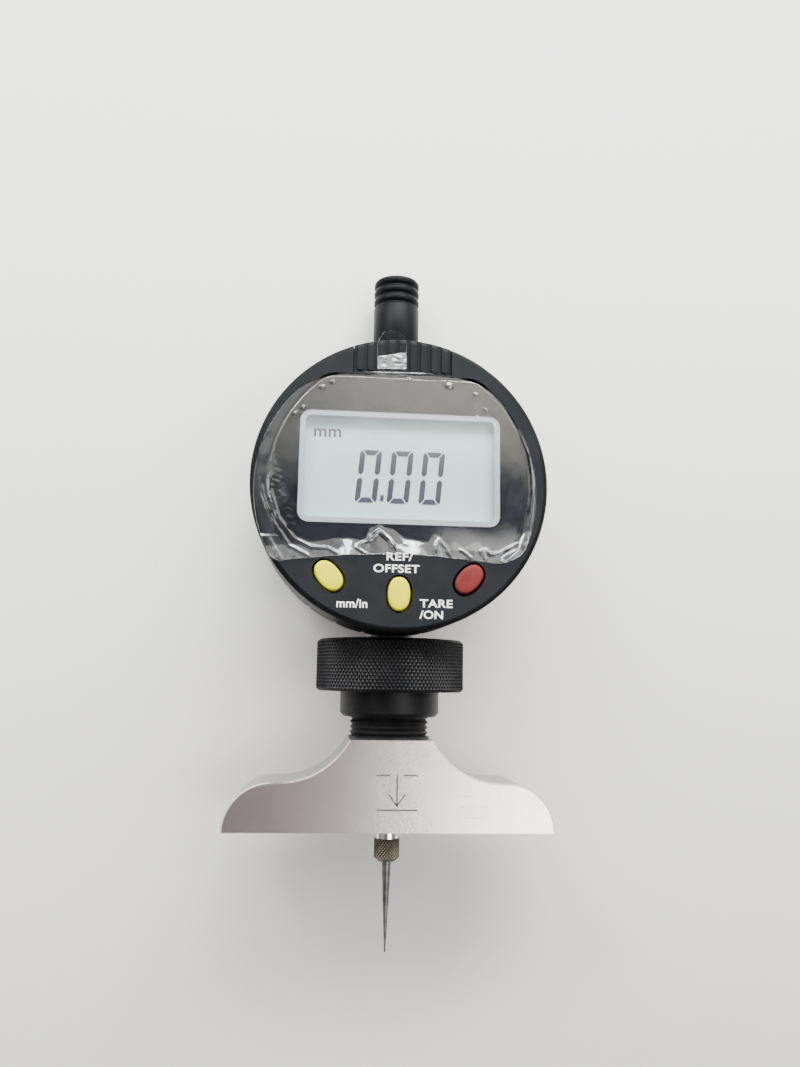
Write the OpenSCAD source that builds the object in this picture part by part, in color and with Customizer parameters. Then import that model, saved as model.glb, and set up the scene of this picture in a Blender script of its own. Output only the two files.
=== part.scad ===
// Tread and hole depth gauge: a digital indicator clamped in a bridge base.
// Upright working pose. The origin is the middle of the measuring face, +Z runs
// up the spindle, and the display looks along -Y.

/* [Bridge base] */
// Length of the measuring face
base_len = 63.5; // [52:0.5:110]
// Depth of the bridge, front to back
base_depth = 16; // [14:0.5:20]
// Height of the tower that carries the sleeve
base_h = 17.1; // [15:0.1:20]
// Width of the tower's flat top
tower_w = 16.2; // [14:0.1:20]
// Height of the shoulders
shoulder_h = 9.2; // [8:0.1:11]
// Radius of the hollow flanks
flank_r = 15.2; // [13:0.1:18]
// Edge break on the outer edges
edge_break = 0.3; // [0.1:0.1:0.5]
// Radius of the hole that the contact collar goes up through
probe_hole_r = 3.2; // [3:0.1:3.6]

/* [Clamp] */
// Crest radius of the sleeve's M16 thread
thread_r = 7.9; // [7:0.1:8.5]
// Thread pitch
pitch = 1.0; // [0.75:0.25:1.5]
// Depth of the thread's grooves
thread_depth = 0.55; // [0.4:0.05:0.7]
// Radius of the spigot that screws into the bridge
spigot_r = 6; // [5.5:0.1:6.5]
// Length of the spigot
spigot_len = 9.8; // [8:0.1:11]
// Radius of the knurled ring
nut_r = 14.9; // [12:0.1:18]
// Height of the knurled ring
nut_h = 10.2; // [8:0.1:12]
// Wall of the nut's plain skirt
skirt_wall = 1.9; // [1.5:0.1:4]
// Height of the skirt
skirt_h = 4.9; // [3:0.1:6]
// Thread left bare between bridge and skirt
bare_thread = 4.3; // [3:0.1:7]

/* [Indicator body] */
// Radius of the front case
body_r = 28.4; // [26:0.1:34.1]
// Gap between the clamp nut and the front case
nut_gap = 0.7; // [0.5:0.1:4]
// From the spindle's axis to the face
face_fwd = 18.5; // [18:0.1:22]
// From the spindle's axis back to the rear cover
back_off = 8; // [8:0.1:10]
// Wall of the front case
front_wall = 1.9; // [1.6:0.1:2.4]
// Thickness of the face plate
face_t = 3; // [2.6:0.1:3.4]
// Rounding of the face's rim
rim_round = 1; // [0.6:0.1:1.4]
// Number of notches round the rear edge of the front case
notches = 30; // [12:1:40]

/* [Window and display] */
// Radius of the window's curved sides
window_r = 25.2; // [24:0.1:26]
// Top edge of the window above the body's centre
window_top = 20.8; // [19.5:0.1:20.8]
// Bottom edge of the window below the body's centre
window_bottom = 13.6; // [12.8:0.1:13.8]
// Half width of the window's straight edges
window_flat = 17; // [15:0.5:18]
// Corner radius at the window's top
corner_high = 5; // [4:0.5:6]
// Corner radius at the window's bottom
corner_low = 7; // [5:0.5:8]
// Width of the visible display opening
view_w = 38.7; // [34:0.1:39]
// Height of the visible display opening
view_h = 21.9; // [18:0.1:22]
// Centre of the display above the body's centre
view_up = 3; // [1:0.1:3]
// Width of the pale frame's rim that shows
frame_rim = 1.05; // [0.6:0.05:1.5]

/* [Buttons] */
// Half width of a button
button_a = 2.05; // [1.8:0.05:2.2]
// Half length of a button
button_b = 3.1; // [2.8:0.05:3.3]
// Gap round a button
button_gap = 0.45; // [0.3:0.05:0.5]
// How far a button stands out of the face
button_proud = 0.7; // [0.6:0.1:1]
// How far a button goes in
button_stroke = 0.5; // [0.3:0.05:0.5]
// Sideways place of the outer buttons
button_x = 13.1; // [12.6:0.1:14]
// Drop of the outer buttons below the body's centre
button_drop = 18.25; // [18:0.05:18.6]
// Drop of the middle button below the body's centre
mid_drop = 21.3; // [20.9:0.1:21.5]
// Lean of the outer buttons
button_lean = 42; // [35:1:45]

/* [Battery slide] */
// Width of the ribbed cover
cover_w = 18.8; // [18:0.1:20]
// Radius of the button cell
cell_r = 5.8; // [5.5:0.1:5.8]
// Thickness of the button cell
cell_t = 5.4; // [4:0.1:5.4]
// Number of grip ribs
grip_ribs = 9; // [5:1:9]
// Spacing of the grip ribs
rib_pitch = 2.05; // [1.9:0.05:2.1]

/* [Spindle and probe] */
// Measuring range of the spindle
travel = 25.4; // [18:0.1:25.4]
// Radius of the spindle
spindle_r = 2.25; // [2:0.05:2.7]
// From the spindle's surface to the outside of its bushes
bush_wall = 0.75; // [0.6:0.05:1]
// Radius of the stem
stem_r = 4; // [3.7:0.05:4.8]
// Radius of the knurled contact collar
collar_r = 2.57; // [2.2:0.01:2.8]
// Length of the contact collar
collar_len = 4.3; // [3:0.1:6]
// Bright spindle below the measuring face when fully out
spindle_out = 2.1; // [1:0.1:4]
// Length of the needle below its collar
needle_len = 16.9; // [10:0.1:25]
// Radius at the needle's root
needle_r = 0.9; // [0.6:0.05:1.2]
// Radius of the needle's tip
tip_r = 0.15; // [0.1:0.05:0.4]

/* [Dust cap] */
// Wall of the dust cap over its neck
cap_wall = 0.85; // [0.7:0.05:2]
// Room left over the spindle at the top of its travel
cap_room = 0.9; // [0.8:0.05:4]
// Thickness of the cap's end
cap_end = 1.35; // [1.2:0.1:2.5]
// Number of rounded grooves near its top
cap_grooves = 3; // [1:1:4]
// Spacing of the grooves
groove_pitch = 2; // [1.6:0.1:2.4]

/* [Fits] */
// Radial clearance of the spindle in its bushes
run_fit = 0.03; // [0.02:0.01:0.06]
// Radial clearance of the nut on its thread
thread_fit = 0.1; // [0.1:0.05:0.2]
// Clearance between two sliding plastic parts
slide_gap = 0.15; // [0.1:0.05:0.2]
// Clearance of a piece that is set into another
seat_gap = 0.05; // [0.02:0.01:0.1]

/* [Hidden] */
$fn = 96;
eps = 0.01;

// Heights along the spindle
sleeve_flange = 0.7;
nut_bore = thread_r + thread_fit;
skirt_r = nut_bore + skirt_wall;
skirt_z = base_h + bare_thread;
ring_z = skirt_z + skirt_h;
nut_top = ring_z + nut_h;
body_z = nut_top + nut_gap + body_r;
rear_r = body_r - 1.2;
rear_in = rear_r - 2.5;
front_in = body_r - front_wall;
stem_z = nut_top - 11.2;
collet_top = nut_top - 1.6;
cone_z = collet_top - 4;
collet_r = thread_r - 1;
cone_top_r = collet_r - 1.3;

// Heights inside the case
boss_top = body_z - rear_in + 4.5;
stop_t = 1.2;
carrier_z = boss_top + stop_t + seat_gap;
carrier_h = 8;
carrier_half = spindle_r + 2.25;
high_boss_z = carrier_z + carrier_h + travel + 0.7;
neck_base = body_z + rear_r;
neck_h = 4.4;
bush_r = spindle_r + bush_wall;
bush_len = 6;
spindle_top = high_boss_z + bush_len - 0.1;
cap_r = stem_r + cap_wall;
cap_z = neck_base + 0.2;
cap_bore_top = spindle_top + travel + cap_room;
cap_top = cap_bore_top + cap_end;
scale_top = body_z + sqrt(rear_in * rear_in - carrier_half * carrier_half) - 0.3 - travel;

// Depths, measured forward from the spindle's axis
back_face = -back_off;
cover_t = 2;
rear_floor = back_face + cover_t;
step_f = 2.8;
spigot_f = step_f + 2;
boss_f = stem_r + 0.8;
boss_b = 4;
case_screw_f = -4;
board_f = 8.2;
board_t = 0.8;
board_front = board_f + board_t;
plate_f = face_fwd - face_t;
lens_t = 1.75;
lens_f = face_fwd - lens_t + 0.15;
mask_t = 0.12;
mask_f = lens_f - mask_t;
frame_f = plate_f - 0.6;
lcd_t = 2.8;
lcd_f = frame_f - lcd_t;
lcd_w = view_w + 1.5;
lcd_h = view_h + 0.7;
frame_w = lcd_w + 0.8;
frame_h = lcd_h + 0.6;
scale_t = 0.5;
scale_f = board_f - 0.3 - scale_t;
arm_f = scale_f;
carrier_back = 3.6;

// Places that several pieces share, as [across, up] from the body's centre
screw_boss_r = 1.9;
cover_boss_r = 2.2;
case_screw_ring = front_in - screw_boss_r - 0.8;
low_screw_x = stem_r + screw_boss_r + 0.2;
low_screw_y = -sqrt(case_screw_ring * case_screw_ring - low_screw_x * low_screw_x);
case_screw_at = concat(
  [for (a = [12, 168]) case_screw_ring * [cos(a), sin(a)]],
  [for (s = [-1, 1]) [s * low_screw_x, low_screw_y]]);
cover_screw_at = [for (a = [35, 145, 215, 325]) (rear_in - cover_boss_r + 0.5) * [cos(a), sin(a)]];
board_post_at = [for (a = [-32, 48, 132, 212]) (front_in - screw_boss_r - 0.3) * [cos(a), sin(a)]];
button_at = [[-button_x, -button_drop, button_lean], [0, -mid_drop, 0], [button_x, -button_drop, -button_lean]];
cell_up = body_r - cell_r - 1.5;
cell_f = 10.3;
tray_w = 2 * cell_r + 2.8;
tray_top_f = cell_f + cell_t + 0.6;
cover_low = window_top + 0.6;

// Spring and guide
spring_x = -low_screw_x - screw_boss_r - 1.5;
lug_r = 1.6;
post_z = body_z - sqrt(rear_in * rear_in - spring_x * spring_x) + 1.8;
hook_z = post_z + 15.8;
spring_r = 1.8;
wire_r = 0.2;
rail_x = 7;
ear_t = 0.8;
rail_z = boss_top + 4.2;
pin_r = 1.15;
pin_x = spindle_r + 0.75;
pin_z = carrier_z + 6;
clamp_screw_x = spindle_r + 1.15;
clamp_screw_z = carrier_z + 2.2;
rail_screw_at = [rail_z - 3, high_boss_z + 3];

// Draws what follows in the plane of the face: x across, y up from the body's
// centre, z forward from the spindle's axis
module on_face() {
  translate([0, 0, body_z])
    rotate([90, 0, 0])
      children();
}

module pocket(w, h, t, r = 0.8) {
  linear_extrude(t)
    rounded_plate(w, h, r);
}

module rounded_plate(w, h, r) {
  union() {
    square([w - 2 * r, h], center = true);
    square([w, h - 2 * r], center = true);
    for (sx = [-1, 1], sy = [-1, 1])
      translate([sx * (w / 2 - r), sy * (h / 2 - r)])
        circle(r);
  }
}

// Oval with half width a and half length b, a little fuller than an ellipse
module oval(a, b) {
  fullness = 2 / 2.25;
  polygon([for (t = [0:5:355]) [a * sign(cos(t)) * pow(abs(cos(t)), fullness),
    b * sign(sin(t)) * pow(abs(sin(t)), fullness)]]);
}

// Outline of the window, grown by g; its upper corners run into the circle
module window_outline(g = 0) {
  low = -window_bottom - g;
  r = window_r + g;
  flat = window_flat + g;
  high_r = corner_high + g;
  corner_y = window_top - corner_high;
  corner_x = sqrt(pow(window_r - corner_high, 2) - pow(corner_y, 2));
  intersection() {
    circle(r, $fn = 180);
    union() {
      translate([-r, low + corner_low])
        square([2 * r, corner_y * r / (r - high_r) - low - corner_low]);
      translate([-corner_x, 0])
        square([2 * corner_x, window_top + g]);
      translate([-flat, low])
        square([2 * flat, -low]);
      for (s = [-1, 1]) {
        translate([s * flat, low + corner_low])
          circle(corner_low);
        translate([s * corner_x, corner_y])
          circle(high_r);
      }
    }
  }
}

// A machine screw pointing along +Z with its head at the bottom
module screw(r, len, head_r, head_h) {
  difference() {
    union() {
      translate([0, 0, -head_h / 2])
        cylinder(h = len + head_h / 2, r = r);
      translate([0, 0, -head_h])
        cylinder(h = head_h, r = head_r);
    }
    translate([-head_r - 1, -0.2, -head_h - 1])
      cube([2 * head_r + 2, 0.4, 1 + head_h * 0.45]);
  }
}

// ---------------------------------------------------------------- bridge base

end_x = base_len / 2 - shoulder_h;
half_d = base_depth / 2;
flank_x = tower_w / 2 + sqrt(flank_r * flank_r - pow(flank_r + shoulder_h - base_h, 2));
flank_z = shoulder_h + flank_r;

module bevelled_disc(r) {
  rotate([90, 0, 0])
    rotate_extrude($fn = 180)
      polygon([[0, -half_d], [r - edge_break, -half_d], [r, -half_d + edge_break],
        [r, half_d - edge_break], [r - edge_break, half_d], [0, half_d]]);
}

module flank_cutter() {
  rotate([90, 0, 0])
    rotate_extrude($fn = 180)
      polygon([[0, -half_d - 1], [flank_r + edge_break + 1, -half_d - 1], [flank_r, -half_d + edge_break],
        [flank_r, half_d - edge_break], [flank_r + edge_break + 1, half_d + 1], [0, half_d + 1]]);
}

module base_bridge() {
  color("silver")
  difference() {
    union() {
      translate([-end_x, 0, 0])
        rotate([90, 0, 90])
          linear_extrude(2 * end_x)
            polygon([[-half_d, 0], [half_d, 0], [half_d, shoulder_h - edge_break],
              [half_d - edge_break, shoulder_h], [-half_d + edge_break, shoulder_h],
              [-half_d, shoulder_h - edge_break]]);
      for (s = [-1, 1])
        translate([s * end_x, 0, 0])
          bevelled_disc(shoulder_h);
      translate([-flank_x, -half_d, 0])
        cube([2 * flank_x, base_depth, base_h]);
    }
    for (s = [-1, 1])
      translate([s * flank_x, 0, flank_z])
        flank_cutter();
    // everything under the measuring face
    translate([-base_len, -base_depth, -2 * shoulder_h])
      cube([2 * base_len, 2 * base_depth, 2 * shoulder_h]);
    translate([0, 0, -1])
      cylinder(h = base_h, r = probe_hole_r);
    translate([0, 0, -eps])
      cylinder(h = 0.5 + eps, r1 = probe_hole_r + 0.5, r2 = probe_hole_r);
    translate([0, 0, base_h - spigot_len])
      cylinder(h = spigot_len + 1, r = spigot_r);
    translate([0, half_d + 1, base_h - 5])
      rotate([90, 0, 0])
        cylinder(h = half_d + 1, r = 1.5);
  }
}

module sleeve_screw() {
  color("dimgray")
  difference() {
    translate([0, half_d - 0.3, base_h - 5])
      rotate([90, 0, 0])
        cylinder(h = half_d - 0.3 - spigot_r + 0.4, r = 1.5);
    translate([0, half_d, base_h - 5])
      rotate([90, 0, 0])
        cylinder(h = 1.3, r = 0.87, $fn = 6);
    cylinder(h = base_h, r = spigot_r + eps);
  }
}

// ---------------------------------------------------------------------- clamp

module clamp_sleeve() {
  turns = floor((cone_z - 2.4 - base_h - sleeve_flange) / pitch);
  color("#1c1d20")
  difference() {
    rotate_extrude()
      polygon(concat(
        [[stem_r - 1, base_h - spigot_len], [spigot_r - 0.4, base_h - spigot_len],
          [spigot_r, base_h - spigot_len + 0.4], [spigot_r, base_h], [thread_r + 0.2, base_h],
          [thread_r + 0.2, base_h + 0.4], [thread_r - thread_depth, base_h + sleeve_flange]],
        [for (i = [0:turns - 1], k = [0:1])
          [k == 0 ? thread_r : thread_r - thread_depth, base_h + sleeve_flange + pitch * (i + 0.5 + k / 2)]],
        [[collet_r, base_h + sleeve_flange + pitch * turns + 0.5], [collet_r, cone_z],
          [cone_top_r, collet_top], [stem_r - 1, collet_top]]));
    translate([0, 0, base_h - spigot_len - 1])
      cylinder(h = collet_top, r = probe_hole_r);
    translate([0, 0, stem_z - 0.6])
      cylinder(h = collet_top, r = stem_r + run_fit / 2);
    for (a = [0:90:270])
      rotate([0, 0, a + 45])
        translate([0, -0.4, cone_z - 2])
          cube([12, 0.8, 20]);
  }
}

// Radius of the collet's cone at height z
function cone_r(z) = collet_r + (cone_top_r - collet_r) * (z - cone_z) / (collet_top - cone_z);

module clamp_ring() {
  color("gray")
  rotate_extrude()
    polygon([[cone_r(cone_z + 0.3) + seat_gap, cone_z + 0.3], [thread_r - 0.05, cone_z + 0.3],
      [thread_r - 0.05, collet_top], [cone_r(collet_top) + seat_gap, collet_top]]);
}

module clamp_nut() {
  lip = collet_top + seat_gap;
  lip_r = stem_r + 2.2;
  color("#17181a")
  rotate_extrude()
    polygon([[nut_bore + 0.4, skirt_z], [skirt_r - 0.7, skirt_z], [skirt_r, skirt_z + 0.7],
      [skirt_r, ring_z], [nut_r - 0.7, ring_z], [nut_r, ring_z + 0.7], [nut_r, nut_top - 0.8],
      [nut_r - 0.8, nut_top], [lip_r, nut_top], [lip_r, lip], [nut_bore, lip],
      [nut_bore, skirt_z + 0.4]]);
}

// ------------------------------------------------------------------- the case

module stem() {
  bush_z = stem_z + 0.3;
  color("silver")
  rotate_extrude()
    polygon([[bush_r + 0.25, stem_z], [stem_r - 0.25, stem_z], [stem_r, stem_z + 0.3],
      [stem_r, boss_top], [spindle_r + 0.25, boss_top], [spindle_r + 0.25, bush_z + bush_len],
      [bush_r, bush_z + bush_len], [bush_r, bush_z]]);
}

module lower_bush() {
  color("peru")
  translate([0, 0, stem_z + 0.3])
    difference() {
      cylinder(h = bush_len, r = bush_r);
      translate([0, 0, -1])
        cylinder(h = bush_len + 2, r = spindle_r + run_fit);
    }
}

module upper_bush() {
  color("peru")
  translate([0, 0, high_boss_z])
    difference() {
      cylinder(h = neck_base - high_boss_z, r = bush_r);
      translate([0, 0, -1])
        cylinder(h = 40, r = spindle_r + run_fit);
    }
}

module rear_case() {
  color("#202124")
  difference() {
    union() {
      on_face()
        difference() {
          union() {
            translate([0, 0, rear_floor])
              cylinder(h = step_f - rear_floor, r = rear_r);
            cylinder(h = spigot_f, r = front_in - slide_gap);
          }
          translate([0, 0, rear_floor - 1])
            cylinder(h = 40, r = rear_in);
        }
      // lower boss for the stem, upper boss for the bush, and the neck of the cap
      intersection() {
        on_face() {
          translate([0, 0, rear_floor])
            cylinder(h = step_f - rear_floor, r = rear_r - 0.1);
          cylinder(h = 10, r = front_in - slide_gap);
        }
        union() {
          translate([-stem_r - 1.5, -boss_f, body_z - rear_r])
            cube([rail_x + stem_r + 1.5, boss_f + boss_b, boss_top - body_z + rear_r]);
          translate([rail_x - 0.1, -boss_f, body_z - rear_r])
            cube([5.1, boss_f + boss_b, rail_z - body_z + rear_r]);
          translate([-6, -boss_f, high_boss_z])
            cube([18, boss_f + boss_b, body_r]);
          // lug of the spring post
          translate([spring_x, boss_b, post_z])
            rotate([90, 0, 0])
              cylinder(h = 1.5, r = lug_r);
          translate([spring_x - lug_r, boss_b - 1.5, post_z - 4])
            cube([2 * lug_r, 1.5, 4]);
        }
      }
      translate([0, 0, neck_base - 1])
        cylinder(h = neck_h + 1, r = stem_r);
      on_face() {
        for (p = case_screw_at)
          translate([p[0], p[1], case_screw_f])
            cylinder(h = boss_f - case_screw_f, r = screw_boss_r);
        for (p = cover_screw_at)
          translate([p[0], p[1], rear_floor])
            cylinder(h = 6, r = cover_boss_r);
      }
    }
    translate([0, 0, body_z - rear_r - 1])
      cylinder(h = 12, r = stem_r);
    translate([0, 0, high_boss_z - 1])
      cylinder(h = 2 * body_r, r = bush_r);
    on_face() {
      for (p = case_screw_at)
        translate([p[0], p[1], back_face - 1])
          cylinder(h = 20, r = 1);
      for (p = case_screw_at)
        translate([p[0], p[1], back_face - 1])
          cylinder(h = case_screw_f - back_face + 1, r = screw_boss_r);
      for (p = cover_screw_at)
        translate([p[0], p[1], rear_floor - 1])
          cylinder(h = 6, r = 0.9);
    }
    for (z = rail_screw_at)
      translate([rail_x + 3, 10, z])
        rotate([90, 0, 0])
          cylinder(h = 12, r = 0.8);
  }
}

module back_cover() {
  color("#26272a")
  on_face()
    difference() {
      rotate_extrude($fn = 180)
        polygon([[0, back_face], [rear_r - 0.8, back_face], [rear_r, back_face + 0.8], [rear_r, rear_floor],
          [0, rear_floor]]);
      for (p = cover_screw_at)
        translate([p[0], p[1], back_face]) {
          translate([0, 0, -1])
            cylinder(h = 4, r = 1.1);
          translate([0, 0, -1])
            cylinder(h = 2, r = 2.1);
        }
    }
}

module cover_screws() {
  color("dimgray")
  on_face()
    for (p = cover_screw_at)
      translate([p[0], p[1], back_face + 1])
        screw(0.85, 5, 1.9, 0.8);
}

module case_screws() {
  color("dimgray")
  on_face()
    for (p = case_screw_at)
      translate([p[0], p[1], case_screw_f])
        screw(0.95, 14, 1.8, 1.2);
}

module front_case() {
  color("#2b2c30")
  on_face()
    difference() {
      union() {
        difference() {
          rotate_extrude($fn = 180)
            union() {
              polygon([[0, plate_f], [body_r, plate_f], [body_r, face_fwd - rim_round],
                [body_r - rim_round, face_fwd - rim_round], [body_r - rim_round, face_fwd], [0, face_fwd]]);
              translate([body_r - rim_round, face_fwd - rim_round])
                circle(rim_round, $fn = 48);
              translate([front_in, step_f])
                square([front_wall, plate_f - step_f + eps]);
            }
          // seat of the window, and the display frame's opening behind it
          translate([0, 0, mask_f])
            linear_extrude(10)
              window_outline(seat_gap * 3);
          translate([0, view_up, plate_f - 1])
            pocket(frame_w + 2 * seat_gap, frame_h + 2 * seat_gap, 10, 1.2);
        }
        for (p = case_screw_at)
          translate([p[0], p[1], boss_f + seat_gap])
            cylinder(h = plate_f - boss_f, r = screw_boss_r);
        for (p = board_post_at)
          translate([p[0], p[1], board_front])
            cylinder(h = plate_f - board_front + eps, r = screw_boss_r);
      }
      for (p = button_at)
        translate([p[0], p[1], plate_f - 1])
          rotate([0, 0, p[2]])
            linear_extrude(6)
              oval(button_a + button_gap, button_b + button_gap);
      for (p = case_screw_at)
        translate([p[0], p[1], 0])
          cylinder(h = 11, r = 0.95);
      for (p = board_post_at)
        translate([p[0], p[1], board_front - 1])
          cylinder(h = 5, r = 0.8);
      // way of the battery tray and of its cover
      translate([-tray_w / 2 - slide_gap, view_up + frame_h / 2 - 0.4, board_front + 0.6])
        cube([tray_w + 2 * slide_gap, 30, tray_top_f - board_front - 0.6 + slide_gap]);
      translate([-cover_w / 2 - slide_gap, cover_low - slide_gap, tray_top_f])
        cube([cover_w + 2 * slide_gap, 30, 10]);
      for (i = [0:notches - 1])
        rotate([0, 0, -90 + i * 360 / notches])
          translate([body_r - 0.5, -0.4, step_f - 1])
            cube([2, 0.8, 4.4]);
      // round cut-outs that pass the dust cap above and the stem below
      rotate([-90, 0, 0]) {
        cylinder(h = body_r + 1, r = cap_r + slide_gap);
        translate([0, 0, -body_r - 1])
          cylinder(h = body_r + 1, r = stem_r + slide_gap);
      }
    }
}

module dust_cap() {
  dome_r = 9;
  color("#2c3034")
  difference() {
    rotate_extrude()
      difference() {
        union() {
          translate([0, cap_z])
            square([cap_r, cap_top - cap_z - 1.4]);
          intersection() {
            translate([0, cap_top - dome_r])
              circle(dome_r, $fn = 180);
            translate([0, cap_top - dome_r / 2])
              square([cap_r, dome_r]);
          }
        }
        for (i = [0:cap_grooves - 1])
          translate([cap_r + 0.25, cap_top - 2.3 - groove_pitch * i])
            circle(0.6, $fn = 24);
        translate([-2 * dome_r, cap_z - 1])
          square([2 * dome_r, cap_top - cap_z + 2]);
      }
    translate([0, 0, cap_z - 1])
      cylinder(h = neck_h + 1, r = stem_r + seat_gap);
    translate([0, 0, cap_z])
      cylinder(h = cap_bore_top - cap_z, r = spindle_r + 0.75);
  }
}

// --------------------------------------------------------- window and display

module window_lens() {
  color("#9fb4c0", 0.4)
  on_face()
    translate([0, 0, lens_f])
      linear_extrude(lens_t)
        window_outline();
}

module window_mask() {
  color("#0b0c0f")
  on_face()
    translate([0, 0, mask_f])
      linear_extrude(mask_t)
        difference() {
          window_outline();
          translate([0, view_up])
            rounded_plate(view_w, view_h, 2.2);
        }
}

module display_frame() {
  color("#bcbecb")
  on_face()
    translate([0, view_up, frame_f])
      difference() {
        pocket(frame_w, frame_h, mask_f - frame_f - 0.02, 1.2);
        translate([0, 0, -1])
          pocket(view_w - 2 * frame_rim, view_h - 2 * frame_rim, 10, 1.2);
      }
}

module lcd_panel() {
  color("#d0e0de")
  on_face()
    translate([0, view_up, lcd_f])
      pocket(lcd_w, lcd_h, lcd_t - 0.02, 0.5);
}

module connector_strips() {
  color("hotpink")
  on_face()
    for (s = [-1, 1])
      translate([-17.5, view_up + s * (lcd_h / 2 - 1.6) - 0.9, board_front])
        cube([35, 1.8, lcd_f - board_front]);
}

module main_board() {
  color("seagreen")
  on_face()
    translate([0, 0, board_f])
      linear_extrude(board_t)
        difference() {
          circle(front_in - 0.5, $fn = 120);
          for (p = case_screw_at)
            translate([p[0], p[1]])
              circle(2.3);
          for (p = board_post_at)
            translate([p[0], p[1]])
              circle(1);
        }
}

module board_screws() {
  color("dimgray")
  on_face()
    for (p = board_post_at)
      translate([p[0], p[1], board_f])
        screw(0.75, 4.6, 1.5, 0.9);
}

module processor_chip() {
  color("#111111")
  on_face()
    translate([-4, 1, board_front])
      rotate_extrude()
        polygon([[0, 0], [4.2, 0], [3.9, 0.5], [2.6, 1], [0, 1.2]]);
}

module crystal_can() {
  color("silver")
  on_face()
    translate([8, -1, board_front + 1])
      rotate([0, 90, 0])
        cylinder(h = 6, r = 1);
}

module tact_switches() {
  color("#202020")
  on_face()
    for (p = button_at)
      translate([p[0], p[1], board_front]) {
        translate([-1.9, -1.9, 0])
          cube([3.8, 3.8, 1.6]);
        cylinder(h = 2, r = 1);
      }
}

module contact_minus() {
  color("gold")
  on_face()
    translate([0, cell_up, board_front]) {
      translate([-3, -4, 0])
        cube([6, 7, 0.25]);
      cylinder(h = cell_f - board_front - seat_gap, r1 = 1.6, r2 = 1);
    }
}

module contact_plus() {
  color("gold")
  on_face()
    translate([0, cell_up - cell_r - 0.5, board_front]) {
      translate([-2.5, -0.15, 0])
        cube([5, 0.3, 4.6]);
      translate([-2.5, -0.15, 0])
        cube([5, 1.3, 0.25]);
    }
}

// --------------------------------------------------------------- moving probe

module spindle() {
  color("gainsboro")
  difference() {
    translate([0, 0, -spindle_out])
      cylinder(h = spindle_top + spindle_out, r = spindle_r);
    translate([0, 0, -spindle_out - 1])
      cylinder(h = 7, r = 1.2);
  }
}

module carrier() {
  color("slategray")
  difference() {
    union() {
      translate([-carrier_half, -arm_f, carrier_z])
        cube([2 * carrier_half, arm_f + carrier_back, carrier_h]);
      translate([spring_x - 1.4, carrier_back - 1, carrier_z])
        cube([-spring_x - 3, 1, carrier_h]);
      translate([spring_x - 1.4, carrier_back - 1, carrier_z])
        cube([2.8, 1, hook_z + 1 - carrier_z]);
    }
    translate([0, 0, carrier_z - 1])
      cylinder(h = carrier_h + 2, r = spindle_r);
    for (s = [-1, 1])
      translate([s * clamp_screw_x, carrier_back + 1, clamp_screw_z])
        rotate([90, 0, 0])
          cylinder(h = 7, r = 0.7);
    translate([pin_x, 0, pin_z])
      rotate([0, 90, 0])
        cylinder(h = 3, r = pin_r);
    translate([spring_x, 5, hook_z])
      rotate([90, 0, 0])
        cylinder(h = 4, r = 0.5);
  }
}

module carrier_screws() {
  color("dimgray")
  for (s = [-1, 1])
    translate([s * clamp_screw_x, carrier_back, clamp_screw_z])
      rotate([90, 0, 0])
        screw(0.7, 5.8, 1.3, 0.8);
}

module scale_strip() {
  color("darkgoldenrod")
  translate([-carrier_half, -scale_f - scale_t, carrier_z])
    cube([2 * carrier_half, scale_t, scale_top - carrier_z]);
}

module guide_pin() {
  color("silver")
  translate([pin_x, 0, pin_z])
    rotate([0, 90, 0])
      cylinder(h = rail_x + 2.5 - pin_x, r = pin_r);
}

module guide_rail() {
  z0 = rail_z;
  z1 = high_boss_z;
  color("lightsteelblue")
  difference() {
    union() {
      translate([rail_x, -2.2, z0])
        cube([4, boss_b + 2.6, z1 - z0]);
      // ears that lie behind the two bosses
      translate([rail_x + 1.2, boss_b, z0 - 4.6])
        cube([3.4, ear_t, z1 - z0 + 9.6]);
    }
    translate([rail_x - 1, -pin_r - run_fit, z0 - 1])
      cube([3.7, 2 * (pin_r + run_fit), z1 - z0 + 2]);
    for (z = rail_screw_at)
      translate([rail_x + 3, 10, z])
        rotate([90, 0, 0])
          cylinder(h = 12, r = 0.9);
  }
}

module rail_screws() {
  color("dimgray")
  for (z = rail_screw_at)
    translate([rail_x + 3, boss_b + ear_t, z])
      rotate([90, 0, 0])
        screw(0.8, 4.5, 1.5, 0.8);
}

module spring_post() {
  color("silver")
  translate([spring_x, boss_b - 1.5, post_z])
    rotate([90, 0, 0])
      union() {
        cylinder(h = 3.6, r = 0.5);
        translate([0, 0, 3.2])
          cylinder(h = 0.4, r = 0.9);
      }
}

module hook_pin() {
  color("silver")
  translate([spring_x, carrier_back, hook_z])
    rotate([90, 0, 0])
      union() {
        cylinder(h = 4.7, r = 0.5);
        translate([0, 0, 4.3])
          cylinder(h = 0.4, r = 0.9);
      }
}

module travel_stop() {
  color("#222222")
  translate([0, 0, boss_top])
    difference() {
      cylinder(h = stop_t, r = 4.8);
      translate([0, 0, -1])
        cylinder(h = 4, r = spindle_r + 0.35);
    }
}

function unit(v) = v / norm(v);

// Route of the wire: a hook round the post, the coils, and a hook round the moving pin
function spring_route() =
  let (turns = 16, steps = 12, q = 0.5 + wire_r + 0.08, n = turns * steps,
    low = post_z + 2.1, high = hook_z - 2.1)
  concat(
    [for (a = [130:26:390]) [spring_x + q * cos(a), 0, post_z + q * sin(a)]],
    [[spring_x + 1.2, 0, post_z + 1.2]],
    [for (i = [0:n]) [spring_x + spring_r * cos(i * 360 / steps), spring_r * sin(i * 360 / steps),
      low + (high - low) * i / n]],
    [[spring_x + 1.2, 0, hook_z - 1.2]],
    [for (a = [-30:26:230]) [spring_x + q * cos(a), 0, hook_z + q * sin(a)]]);

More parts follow.
